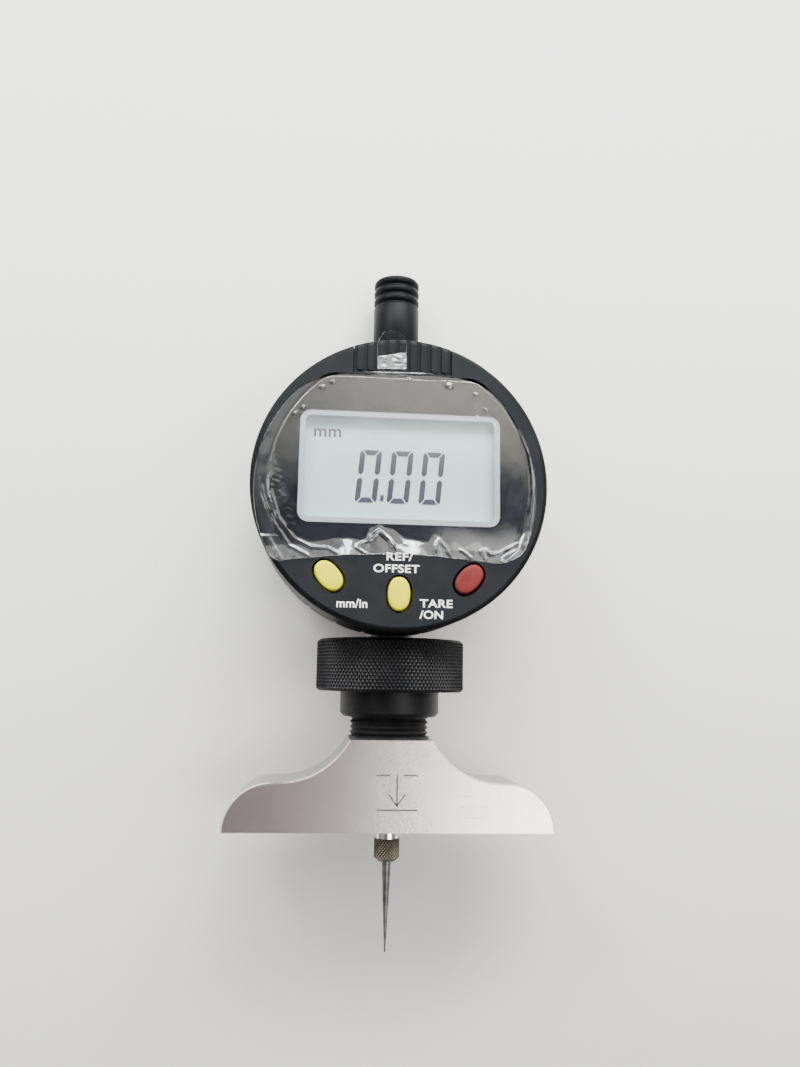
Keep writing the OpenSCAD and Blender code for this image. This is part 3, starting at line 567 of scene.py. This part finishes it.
# ------------------------------------------------- board and its components
# The green board carries the processor, the crystal and three dome switches
# behind the buttons. Rubber strips lead from it to the display.
board = Finish("solder_mask")
track = board.node("ShaderNodeTexVoronoi", {"distance": "MANHATTAN", "feature": "F1"},
                   {"Vector": board.place(), "Scale": 0.5}).rise(0.35, 0.42)
board_material = board.set(Base_Color=board.blend(track, (0.015, 0.16, 0.07), (0.03, 0.24, 0.11)),
                           Roughness=0.32 + board.grain(1.0) * 0.1, Normal=board.bump(track, 0.02))
dress("main_board", board_material)
dress("scale_strip", board_material)
epoxy = moulded("chip_epoxy", (0.012, 0.012, 0.013), 0.1, 0.01, 0.35)
dress("processor_chip", epoxy)
dress("tact_switches", epoxy)
dress("crystal_can", zinc)
strips = Finish("zebra_strip")
stripe = strips.node("ShaderNodeTexWave", {"wave_type": "BANDS", "bands_direction": "X"},
                     {"Vector": strips.place(), "Scale": 1.6})
dress("connector_strips", strips.set(
    Base_Color=strips.blend(stripe.rise(0.3, 0.7), (0.6, 0.3, 0.33), (0.08, 0.07, 0.07)), Roughness=0.6))
gold = bright_steel("plated_contact", (0.85, 0.62, 0.28), 0.2)
dress("contact_minus", gold)
dress("contact_plus", gold)
dress("guide_rail", ground_steel("rail_steel", (0.6, 0.6, 0.6)))
soft_stop = moulded("stop_rubber", (0.016, 0.016, 0.016), 0.4, 0.02, 0.6)
dress("travel_stop", soft_stop)


# --------------------------------------------------------------- display
# A reflective liquid-crystal panel: pale green glass over a grey reflector. The
# lit segments stand a little above it, because they lie between the two glasses.
panel = Finish("lcd_glass")
haze = panel.grain(9, detail=2)
speckle = panel.grain(0.12, detail=2)
tone = panel.blend(haze.rise(0.3, 0.7), (0.57, 0.80, 0.77), (0.62, 0.84, 0.81))
dress("lcd_panel", panel.set(Base_Color=panel.blend(speckle * 0.2, tone, (0.52, 0.73, 0.70)),
                             Roughness=0.42 + speckle * 0.08, Normal=panel.bump(speckle, 0.004)))
lcd_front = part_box("lcd_panel")[0].y
lcd_sunk = (lcd_front - face_y) / MM

digit_ink = Finish("segment_ink")
ink_cloud = digit_ink.grain(2.2)
digit_ink.set(
    Base_Color=digit_ink.blend(ink_cloud.rise(0.3, 0.7), (0.030, 0.040, 0.056), (0.037, 0.048, 0.066)),
    Roughness=0.45)


def segment(mesh, corners, thick=0.02):
    """One flat segment of the display, through its corners in millimetres."""
    face = mesh.faces.new([mesh.verts.new((x, y, 0)) for x, y in corners])
    grown = bmesh.ops.extrude_face_region(mesh, geom=[face])["geom"]
    bmesh.ops.translate(mesh, vec=(0, 0, thick), verts=[g for g in grown if isinstance(g, bmesh.types.BMVert)])


digit_h = 10.4
digit_w = 4.25
stroke = 1.04
slant = 0.095
mid = digit_h / 2
upright = [(0, 0.55), (0.33, 0.1), (stroke, stroke - 0.05), (stroke, mid - 0.72), (stroke / 2, mid - 0.24),
           (0, mid - 0.72)]
cross = [(0.6, 0), (digit_w - 0.6, 0), (digit_w - 1.32, stroke), (1.32, stroke)]
zero = [upright, [(digit_w - x, y) for x, y in upright], [(x, digit_h - y) for x, y in upright],
        [(digit_w - x, digit_h - y) for x, y in upright], cross, [(x, digit_h - y) for x, y in cross]]
digit_foot = -3.6
ink_lift = 0.03
for name, left in (("digit_left", -8.6), ("digit_middle", -2.45), ("digit_right", 3.7)):
    figure = bmesh.new()
    for corners in zero:
        segment(figure, [(x + slant * y, y) for x, y in corners])
    bmesh.ops.recalc_face_normals(figure, faces=figure.faces)
    figure.transform(face_frame(left, digit_foot, ink_lift - lcd_sunk))
    new_piece(name, figure, digit_ink.material, "head", smooth=False)
point = bmesh.new()
segment(point, [(0, 0), (0.7, 0), (0.78, 1.25), (0.08, 1.25)])
bmesh.ops.recalc_face_normals(point, faces=point.faces)
point.transform(face_frame(-3.7, digit_foot + 0.35, ink_lift - lcd_sunk))
new_piece("decimal_point", point, digit_ink.material, "head", smooth=False)


def lettering(name, words, place, height, material, body, weight=0.0, width=1.0):
    """Flat plain capitals, made a mesh before they are placed. Height is in millimetres."""
    curve = bpy.data.curves.new(name, "FONT")
    curve.body = words
    curve.size = 1.38 * height
    curve.offset = weight
    curve.extrude = 0.012
    curve.space_character = 1.04
    holder = bpy.data.objects.new(name, curve)
    bpy.context.collection.objects.link(holder)
    flat = bpy.data.meshes.new_from_object(holder.evaluated_get(bpy.context.evaluated_depsgraph_get()))
    bpy.data.objects.remove(holder)
    mesh = bmesh.new()
    mesh.from_mesh(flat)
    bpy.data.meshes.remove(flat)
    bmesh.ops.remove_doubles(mesh, verts=mesh.verts, dist=1e-4)
    bmesh.ops.scale(mesh, vec=(width, 1, 1), verts=mesh.verts)
    mesh.transform(place)
    return new_piece(name, mesh, material, body, smooth=False)


unit_ink = Finish("unit_ink")
unit_ink.set(
    Base_Color=unit_ink.blend(unit_ink.grain(1.0), (0.032, 0.042, 0.05), (0.042, 0.052, 0.062)),
    Roughness=0.5)
unit_place = face_frame(-16.85, 9.15, ink_lift - lcd_sunk)
lettering("unit_sign", "mm", unit_place, 2.45, unit_ink.material, "head", 0.045, 1.05)


# -------------------------------------------------- display frame and window
# A pale moulded frame holds the panel. Over it lies the window: clear acrylic
# with a bevelled edge, printed gloss black on its back round the opening.
surround = Finish("frame_plastic")
soft = surround.grain(3)
dress("display_frame", surround.set(
    Base_Color=surround.blend(soft, (0.42, 0.45, 0.49), (0.47, 0.50, 0.545)),
    Roughness=0.38 + soft * 0.08, Normal=surround.bump(surround.grain(0.2), 0.006)))
print_black = Finish("printed_black")
depth = print_black.grain(5)
dress("window_mask", print_black.set(
    Base_Color=print_black.blend(depth, (0.004, 0.005, 0.009), (0.007, 0.0085, 0.014)),
    Roughness=0.5 + depth * 0.05, Specular_IOR_Level=0.05))

lens_low, lens_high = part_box("window_lens")


def rounded_cut(first, second, radius):
    """Joins two limits, each below 0 inside, with a rounded corner between them."""
    a, b = first + radius, second + radius
    return min(max(a, b), 0.0) + math.hypot(max(a, 0.0), max(b, 0.0)) - radius


def reach_to(edge, middle, a, most=45.0):
    """How far from the middle, in the direction a, the outline where edge is 0 lies."""
    least = 0.0
    for _ in range(24):
        half = (least + most) / 2
        inside = edge(middle[0] + half * math.cos(a), middle[1] + half * math.sin(a)) <= 0
        least, most = (half, most) if inside else (least, half)
    return least


window_r = 25.2
window_top = 20.8
window_foot = -13.6
upper_corner = 5.0
lower_corner = 7.0
lower_flat = 17.0
upper_y = window_top - upper_corner
upper_x = math.sqrt((window_r - upper_corner) ** 2 - upper_y ** 2)
lower_y = window_foot + lower_corner


def window_edge(x, up):
    """Millimetres outside the window's outline: a circle cut straight at top and foot, below 0 inside."""
    if abs(x) > upper_x and up > abs(x) * upper_y / upper_x:
        return math.hypot(abs(x) - upper_x, up - upper_y) - upper_corner
    low = -lower_corner
    if up < lower_y:
        low = math.hypot(max(abs(x) - lower_flat, 0.0), lower_y - up) - lower_corner
    return max(math.hypot(x, up) - window_r, up - window_top, low)


def window_ring(inset):
    """Points round the window's outline, in millimetres on the face."""
    points = []
    middle = 3.5
    count = 160
    for i in range(count):
        a = 2 * math.pi * i / count
        reach = reach_to(lambda x, up: window_edge(x, up) + inset, (0, middle), a)
        points.append(Vector((reach * math.cos(a), middle + reach * math.sin(a))))
    return points


clear_pane = Finish("clear_acrylic")
edge_on = clear_pane.node("ShaderNodeLayerWeight", inputs={"Blend": 0.5}, output=1)
sheen = 0.05 + edge_on ** 5 * 0.9
mirror = clear_pane.node("ShaderNodeBsdfGlossy", inputs={"Color": (1, 1, 1), "Roughness": 0.05})
through = clear_pane.node("ShaderNodeBsdfTransparent", inputs={"Color": (0.97, 0.98, 0.985)})
pane = clear_pane.node("ShaderNodeMixShader", inputs={0: sheen, 1: through, 2: mirror})
clear_pane.surface(pane)

lens = bmesh.new()
lens_t = (lens_high.y - lens_low.y) / MM
rings = []
for inset, height in ((0.0, -lens_t), (0.0, -0.42), (0.12, -0.3), (0.55, -0.05), (0.75, 0.0)):
    ring = [lens.verts.new((p.x, p.y, height)) for p in window_ring(inset)]
    rings.append([lens.edges.new((a, b)) for a, b in zip(ring, ring[1:] + ring[:1])])
for lower, upper in zip(rings, rings[1:]):
    bmesh.ops.bridge_loops(lens, edges=lower + upper)
bmesh.ops.contextual_create(lens, geom=rings[0])
bmesh.ops.contextual_create(lens, geom=rings[-1])
bmesh.ops.recalc_face_normals(lens, faces=lens.faces)
lens.transform(face_frame(0, 0, (face_y - lens_low.y) / MM))
for f in lens.faces:
    f.material_index = 1 if f.normal.y > 0.5 else 0
pane_back = Finish("acrylic_back")
print_side = pane_back.node("ShaderNodeBsdfTransparent", inputs={"Color": (0.99, 0.995, 1.0)})
pane_back.surface(print_side)
window = new_piece("bevelled_window", lens, clear_pane.material, "head", ["window_lens"],
                   angle=20)
window.data.materials.append(pane_back.material)


# --------------------------------------------------------------- buttons
# Three silicone buttons stand out of oval holes in the face: two yellow ones
# and a red one. Each has a softly domed top and a flange that keeps it in.
def silicone(name, colour, deep):
    rubber = Finish(name)
    dust = rubber.grain(0.5, detail=5, rough=0.65)
    cloud = rubber.grain(2)
    tone = rubber.blend(cloud.rise(0.3, 0.75), colour, deep)
    pale = [min(1, c * 1.15) for c in colour]
    return rubber.set(Base_Color=rubber.blend(dust.rise(0.55, 0.75) * 0.25, tone, pale),
                      Roughness=0.42 + dust * 0.15, Normal=rubber.bump(dust, 0.012),
                      Specular_IOR_Level=0.08)


def button(name, node, x, up, lean, material):
    """An oval shaft with a domed top, over a flange that stays inside."""
    low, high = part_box(node)
    proud = (face_y - low.y) / MM
    sunk = (high.y - face_y) / MM
    flange = 3.0 + 0.05
    half_w, half_l = 2.05, 3.1
    profile = [(1.25, -flange - 1.3), (1.25, -flange), (1.0, -flange), (1.0, proud - 0.45),
               (0.975, proud - 0.27), (0.91, proud - 0.13), (0.78, proud - 0.05),
               (0.5, proud - 0.01), (0.22, proud)]
    mesh = bmesh.new()
    loops = []
    for share, height in profile:
        made = bmesh.ops.create_circle(mesh, segments=64, radius=1.0)["verts"]
        grow = (half_w * share, half_l * share) if share <= 1 else (half_w + 0.75, half_l + 0.75)
        for v in made:
            fuller = (abs(v.co.x) ** 2.25 + abs(v.co.y) ** 2.25) ** (-1 / 2.25)
            v.co.x *= fuller
            v.co.y *= fuller
        bmesh.ops.scale(mesh, vec=(*grow, 1), verts=made)
        bmesh.ops.translate(mesh, vec=(0, 0, height), verts=made)
        loops.append([e for e in mesh.edges if e.verts[0] in made and e.verts[1] in made])
    for lower, upper in zip(loops, loops[1:]):
        bmesh.ops.bridge_loops(mesh, edges=lower + upper)
    bmesh.ops.contextual_create(mesh, geom=loops[0])
    bmesh.ops.contextual_create(mesh, geom=loops[-1])
    plunger = bmesh.ops.create_cone(mesh, cap_ends=True, segments=32, radius1=1.6, radius2=1.6,
                                    depth=sunk - flange - 1.3)["verts"]
    bmesh.ops.translate(mesh, vec=(0, 0, -(sunk + flange + 1.3) / 2), verts=plunger)
    bmesh.ops.recalc_face_normals(mesh, faces=mesh.faces)
    mesh.transform(face_frame(x, up, 0, lean))
    new_piece(name, mesh, material, node, [node], angle=40)


yellow = silicone("yellow_silicone", (0.62, 0.60, 0.0006), (0.56, 0.535, 0.0004))
red = silicone("red_silicone", (0.130, 0.022, 0.021), (0.105, 0.017, 0.016))
button("yellow_unit_button", "unit_button", -13.1, -18.25, 42, yellow)
button("yellow_preset_button", "preset_button", 0, -21.3, 0, yellow)
button("red_zero_button", "zero_button", 13.1, -18.25, -42, red)


# ------------------------------------------------------------ face lettering
# White pad print beside the buttons: plain words for what each one does.
white_ink = Finish("white_print")
chalk = white_ink.grain(0.3, detail=4)
white_ink.set(Base_Color=white_ink.blend(chalk.rise(0.4, 0.8) * 0.4, (0.80, 0.80, 0.80), (0.62, 0.62, 0.63)),
              Roughness=0.5)
for name, words, x, up, height, width in (("unit_words", "mm/in", -11.6, -24.0, 1.62, 1.0),
                                          ("reference_word", "REF/", -2.6, -15.05, 1.5, 1.28),
                                          ("offset_word", "OFFSET", -4.9, -17.3, 1.5, 1.22),
                                          ("tare_word", "TARE", 3.9, -23.65, 1.5, 1.22),
                                          ("on_word", "/ON", 3.9, -25.75, 1.5, 1.12)):
    lettering(name, words, face_frame(x, up, 0.012), height, white_ink.material, "head",
              0.035, width)


# ------------------------------------------------------ battery slide and cell
# The cover is one moulding with a tray for the button cell, and slides out at
# the top of the face. Nine ribs across it give the thumb a grip.
dress("battery_cover", moulded("cover_grip", (0.008, 0.0088, 0.010), 0.16, 0.01, 0.4))
dress("battery", bright_steel("cell_case", (0.66, 0.65, 0.63), 0.2))


# ------------------------------------------------- spindle and what it carries
# A hardened spindle runs through both bushes. A carrier is clamped to it, with
# the reading head's strip, a guide pin in the rail, and a pin for the spring.
dress("spindle", bright_steel("hard_spindle", (0.80, 0.79, 0.77), 0.09))
dress("carrier", ground_steel("carrier_steel", (0.55, 0.55, 0.56)))
dress("guide_pin", bright_steel("pin_steel"))


# -------------------------------------------------------------- return spring
# A fine extension spring of music wire, hooked on the case's post and on the
# carrier's pin. It draws the spindle out.
spring_low, spring_high = sizes("return_spring")
coil_x = sizes("spring_post")[0].x + 0.9
coil_r = 1.8
wire_r = 0.2
foot = spring_low.z + 3.0
head_z = spring_high.z - 3.0
turns = 16
steps = 16
route = []
for i in range(turns * steps + 1):
    a = 2 * math.pi * i / steps
    height = foot + (head_z - foot) * i / (turns * steps)
    route.append(Vector((coil_x + coil_r * math.cos(a), coil_r * math.sin(a), height)))


def hook(middle, start, stop):
    """Part of a ring round a pin, in steps of 20 degrees, all in millimetres."""
    radius = 0.78
    bend = [math.radians(a) for a in range(start, stop, 20)]
    return [Vector((coil_x + radius * math.cos(a), 0, middle + radius * math.sin(a))) for a in bend]


route = hook(spring_low.z + 0.98, 130, 391) + route + hook(spring_high.z - 0.98, -30, 231)


def wire(points, radius, sides=10):
    """A round wire swept along points in millimetres, one ring of vertices bridged to the next."""
    mesh = bmesh.new()
    last = None
    side = None
    for i, p in enumerate(points):
        run = (points[min(i + 1, len(points) - 1)] - points[max(i - 1, 0)]).normalized()
        side = run.orthogonal() if side is None else (side - side.dot(run) * run)
        side.normalize()
        turn = Matrix((side, run.cross(side), run)).transposed().to_4x4()
        place = Matrix.Translation(p) @ turn
        ring = bmesh.ops.create_circle(mesh, segments=sides, radius=radius, matrix=place)["verts"]
        if last is None:
            mesh.faces.new(ring)
        else:
            for k in range(sides):
                mesh.faces.new((last[k - 1], last[k], ring[k], ring[k - 1]))
        last = ring
    mesh.faces.new(last)
    bmesh.ops.recalc_face_normals(mesh, faces=mesh.faces)
    mesh.transform(Matrix.Scale(MM, 4))
    return mesh


spring = new_piece("coiled_spring", wire(route, wire_r), zinc, None, ["return_spring"], angle=60)
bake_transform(spring)


# ------------------------------------------------------- contact and needle
# The contact is a small collar of hardened steel, knurled to be turned by hand,
# with a long needle ground to a blunt point and pressed into it.
collar_low, collar_high = sizes("contact_collar")
collar_r = collar_high.x
collar_top = sizes("spindle")[0].z
stud_top = collar_high.z
collar_steps = 52
collar_rows = 9
rows_low = collar_low.z + 0.75
collar_step = (collar_top - 0.25 - rows_low) / collar_rows
collar_band = [(collar_r, rows_low + collar_step * i) for i in range(collar_rows + 1)]
collar = lathe(
    [(0.7, collar_low.z), (collar_r - 0.85, collar_low.z), (collar_r - 0.5, collar_low.z + 0.3),
     *collar_band, (collar_r - 0.22, collar_top), (1.2, collar_top), (1.2, stud_top), (0, stud_top),
     (0, collar_low.z + 3), (0.7, collar_low.z + 3)],
    collar_steps,
)
knurl(collar, collar_r, rows_low, collar_rows, collar_step, collar_steps, 0.17)
brown = Finish("knurled_contact")
bx, by, _ = brown.axes()
rub = ((bx * bx + by * by) ** 0.5).rise(collar_r - 0.13, collar_r + 0.01)
patina = brown.grain(0.9, detail=3)
brown_tone = brown.blend(patina.rise(0.35, 0.7), (0.075, 0.068, 0.052), (0.15, 0.135, 0.105))
brown.set(Base_Color=brown.blend(rub * 0.85, brown_tone, (0.62, 0.58, 0.47)), Metallic=1.0,
          Roughness=0.36 - rub * 0.1 + patina * 0.06)
new_piece("knurled_collar", collar, brown.material, "probe", ["contact_collar"], angle=24)

point_steel = Finish("needle_steel")
band_grain = point_steel.grain(0.35, (0.3, 0.3, 2.2), detail=3)
mottle = point_steel.grain(1.6)
dress("needle_point", point_steel.set(
    Base_Color=point_steel.blend(mottle.rise(0.35, 0.7), (0.19, 0.186, 0.178), (0.10, 0.098, 0.092)),
    Metallic=1.0, Roughness=0.32 + mottle * 0.12, Normal=point_steel.bump(band_grain, 0.006)))


# --------------------------------------------------------- protective film
# A sheet of clear film, cut by the maker with a pull tab, still on the window.
# It has lifted and creased along the window's edge.
def apart(x, up, points):
    """Distance from a point to a line through the points, and the share of the line that lies before it."""
    best, share = 99.0, 0.0
    for k, ((ax, ay), (bx, by)) in enumerate(zip(points, points[1:])):
        dx, dy = bx - ax, by - ay
        t = max(0.0, min(1.0, ((x - ax) * dx + (up - ay) * dy) / (dx * dx + dy * dy)))
        d = math.hypot(x - ax - dx * t, up - ay - dy * t)
        if d < best:
            best, share = d, (k + t) / (len(points) - 1)
    return best, share


# each crease: its height and width in millimetres, and the line it follows on the face
creases = (
    (0.26, 0.26, ((-24.6, 2.0), (-24.3, -3.0), (-22.6, -8.0), (-19.6, -11.6), (-16.5, -13.0),
                  (-13.2, -13.2), (-10.8, -14.6))),
    (0.24, 0.28, ((-26.4, 0.0), (-25.7, -3.5), (-23.5, -8.7), (-20.5, -12.9), (-18.4, -13.9), (-16.4, -15.0))),
    (0.16, 0.22, ((-26.8, 6.0), (-25.8, 9.5), (-23.1, 14.5), (-19.3, 19.6))),
    (0.18, 0.28, ((-24.3, -11.4), (-22.9, -13.8), (-21.9, -15.6))),
    (0.34, 0.34, ((-8.6, -12.9), (-6.0, -11.6), (-4.0, -9.7), (-2.0, -11.3), (-0.4, -13.6))),
    (0.20, 0.25, ((-8.5, -12.8), (-7.6, -13.3), (-6.0, -14.2))),
    (0.30, 0.30, ((7.2, -14.2), (6.7, -12.2), (7.3, -10.9), (8.7, -12.5), (9.5, -14.4))),
    (0.24, 0.28, ((11.0, -12.5), (12.6, -13.6), (13.6, -14.6))),
    (0.30, 0.30, ((16.2, -15.2), (15.5, -12.9), (16.1, -12.6), (17.2, -13.6), (19.2, -13.0), (22.5, -11.0))),
    (0.26, 0.40, ((18.5, -15.0), (20.6, -14.2), (22.6, -12.6), (23.5, -10.4), (24.6, -6.0),
                  (25.3, 0.0), (24.6, 6.0), (22.2, 12.4))),
    (0.17, 0.22, ((-19.0, 20.0), (-12.0, 21.0), (5.0, 21.4), (12.0, 21.2), (17.2, 18.8),
                  (19.8, 16.2), (23.6, 9.6))),
)
# where the film has let go of the window along its lower edge: how far up it is loose at each place across
let_go = ((-30, -13.6), (-19, -12.6), (-15, -11.9), (-11.8, -11.3), (-9, -11.3), (-6.6, -11.7), (-5.6, -9.2),
          (-4, -8.5), (-2, -9.2), (1.4, -11.1), (5, -11.6), (6.6, -10.0), (9, -11.9), (10.2, -11.2),
          (12, -12.3), (14.6, -11.1), (16.8, -13.1), (19, -13.0), (21, -11.5), (24, -9.0), (30, -7.0))
# each bubble under the film: its place and its radius in millimetres
bubbles = ((9.0, 19.2, 0.55), (14.2, 17.7, 0.28), (16.2, 14.7, 0.25), (14.5, 13.1, 0.28), (1.2, 20.1, 0.3),
           (-15.4, 17.9, 0.36), (-18.9, 13.7, 0.28), (-20.3, 12.5, 0.3), (-13.4, 19.0, 0.3))


def along(points, x):
    """The height of a line of points above x."""
    for (ax, ay), (bx, by) in zip(points, points[1:]):
        if ax <= x <= bx:
            t = (x - ax) / (bx - ax)
            return ay + (by - ay) * t * t * (3 - 2 * t)
    return points[-1][1]


def film_height(x, up):
    """Lift of the film above the face, in millimetres."""
    lift = 0.27 + 0.012 * noise.noise(Vector((x * 0.5, up * 0.35, 3.0)))
    outside = window_edge(x, up) + 0.6
    if outside > 0:
        lift += 0.06 * noise.noise(Vector((x * 0.35, up * 0.35, 7.0))) * min(1.0, outside)
        lift -= 0.07 * min(outside, 2.5) * (1 if up > -11 else 0)
    loose = along(let_go, x) - up
    if loose > 0:
        steep = 0.15 + 0.24 * math.exp(-((x - 2.4) / 3.0) ** 2) + 0.22 * math.exp(-((x + 9.8) / 1.4) ** 2)
        steep += 0.20 * math.exp(-((x - 20.5) / 1.8) ** 2)
        lift += steep * loose + 0.05 * noise.noise(Vector((x * 0.8, up * 0.8, 2.0))) * min(1.0, loose)
    left = -21.2 - 0.35 * (up + 3.0) - x if -9.5 < up < 5 else 0.0
    if left > 0 and outside < 0.5:
        lift += 0.05 * min(left, 1.5) + 0.02 * noise.noise(Vector((x * 1.5, up * 1.5, 9.0)))
    for tall, wide, line in creases:
        d, share = apart(x, up, line)
        if d < 3 * wide:
            ends = min(1.0, 8 * share, 8 * (1 - share))
            swell = 0.75 + 0.5 * noise.noise(Vector((x * 0.5, up * 0.5, tall * 40)))
            lift += tall * ends * swell * math.exp(-(d / wide) ** 2)
    for bx, by, wide in bubbles:
        d = math.hypot(x - bx, (up - by) * 1.3)
        if d < 3 * wide:
            lift += 0.22 * math.exp(-(d / wide) ** 2)
    return lift


def film_outline(x, up):
    """Millimetres outside the film's cut edge, below 0 inside."""
    side = math.hypot(x + 0.8, up + 1.5) - 26.8
    low = -14.1 - 0.0035 * x * x - up
    high = up - 21.7 + 0.002 * (x - 6) ** 2
    return max(rounded_cut(side, high, 4.0), rounded_cut(side, low, 1.5 if x < 0 else 4.0))


film = bmesh.new()
film_middle = (-1.2, 3.0)
cells = 190
bmesh.ops.create_grid(film, x_segments=cells, y_segments=cells, size=1.0)
for v in film.verts:
    s, t = v.co.x, v.co.y
    disc = Vector((s * math.sqrt(1 - t * t / 2), t * math.sqrt(1 - s * s / 2)))
    a = math.atan2(disc.y, disc.x)
    reach = reach_to(film_outline, film_middle, a) * min(1.0, disc.length)
    x, up = film_middle[0] + reach * math.cos(a), film_middle[1] + reach * math.sin(a)
    v.co = Vector((x, up, film_height(x, up)))
tab = bmesh.ops.create_grid(film, x_segments=24, y_segments=44, size=1.0)["verts"]
tab_low, tab_top, tab_half, tab_x = 20.9, 29.6, 2.88, -2.2
for v in tab:
    s, t = v.co.x, (v.co.y + 1) / 2
    up = tab_low + (tab_top - tab_low) * t
    round_off = max(0.0, (up - (tab_top - tab_half)) / tab_half)
    half = tab_half * math.sqrt(max(0.0, 1 - round_off ** 2))
    x = tab_x + s * half
    fold = 24.9 + 0.18 * (x - tab_x)
    height = 0.30 + 0.39 * max(0.0, fold - up) * min(1.0, (up - tab_low) / 0.5) + 0.15 * max(0.0, up - fold)
    height += 0.10 * noise.noise(Vector((x * 1.3, up * 1.3, 5.0))) * (1 if up < fold else 0.12)
    if up < fold:
        height += 0.05 * noise.noise(Vector((x * 3.1, up * 2.7, 6.0))) * min(1.0, (fold - up) / 0.6)
    v.co = Vector((x, up, height))
bmesh.ops.remove_doubles(film, verts=film.verts, dist=1e-4)
bmesh.ops.recalc_face_normals(film, faces=film.faces)
film.transform(face_frame())
clear_film = Finish("clear_film")
smear = clear_film.grain(1.4, detail=4)
film_edge_on = clear_film.node("ShaderNodeLayerWeight", inputs={"Blend": 0.5}, output=1)
film_sheen = 0.08 + film_edge_on ** 5 * 0.9
film_z = clear_film.axes()[2]
# Along the film's loose foot, extra white haze is mixed in as a painted sheen for the creases' reflections; the
# smears elsewhere are real haze.
hanging_painted_sheen = 1 - (film_z - body_z / MM).rise(-14.5, -11.0)
haze_and_sheen_share = 0.004 + smear.rise(0.5, 0.8) * 0.014 + hanging_painted_sheen * 0.03
film_mirror = clear_film.node("ShaderNodeBsdfGlossy", inputs={"Color": (0.93, 0.97, 1), "Roughness": 0.08})
film_through = clear_film.node("ShaderNodeBsdfTransparent", inputs={"Color": (0.99, 0.99, 0.99)})
film_haze_and_sheen = clear_film.node("ShaderNodeBsdfDiffuse", inputs={"Color": (0.85, 0.87, 0.9)})
film_body = clear_film.node("ShaderNodeMixShader", inputs={0: haze_and_sheen_share, 1: film_through, 2: film_haze_and_sheen})
film_mix = clear_film.node("ShaderNodeMixShader", inputs={0: film_sheen, 1: film_body, 2: film_mirror})
clear_film.surface(film_mix)
sheet = new_piece("clear_pull_film", film, clear_film.material, "head", ["protective_film"],
                  angle=80)
film_back = Finish("film_back")
gum_side = film_back.node("ShaderNodeBsdfTransparent", inputs={"Color": (0.99, 0.99, 0.99)})
film_back.surface(gum_side)
sheet.data.materials.append(film_back.material)
thick = sheet.modifiers.new("thickness", "SOLIDIFY")
thick.thickness = 0.06 * MM
thick.offset = -1
thick.material_offset = 1
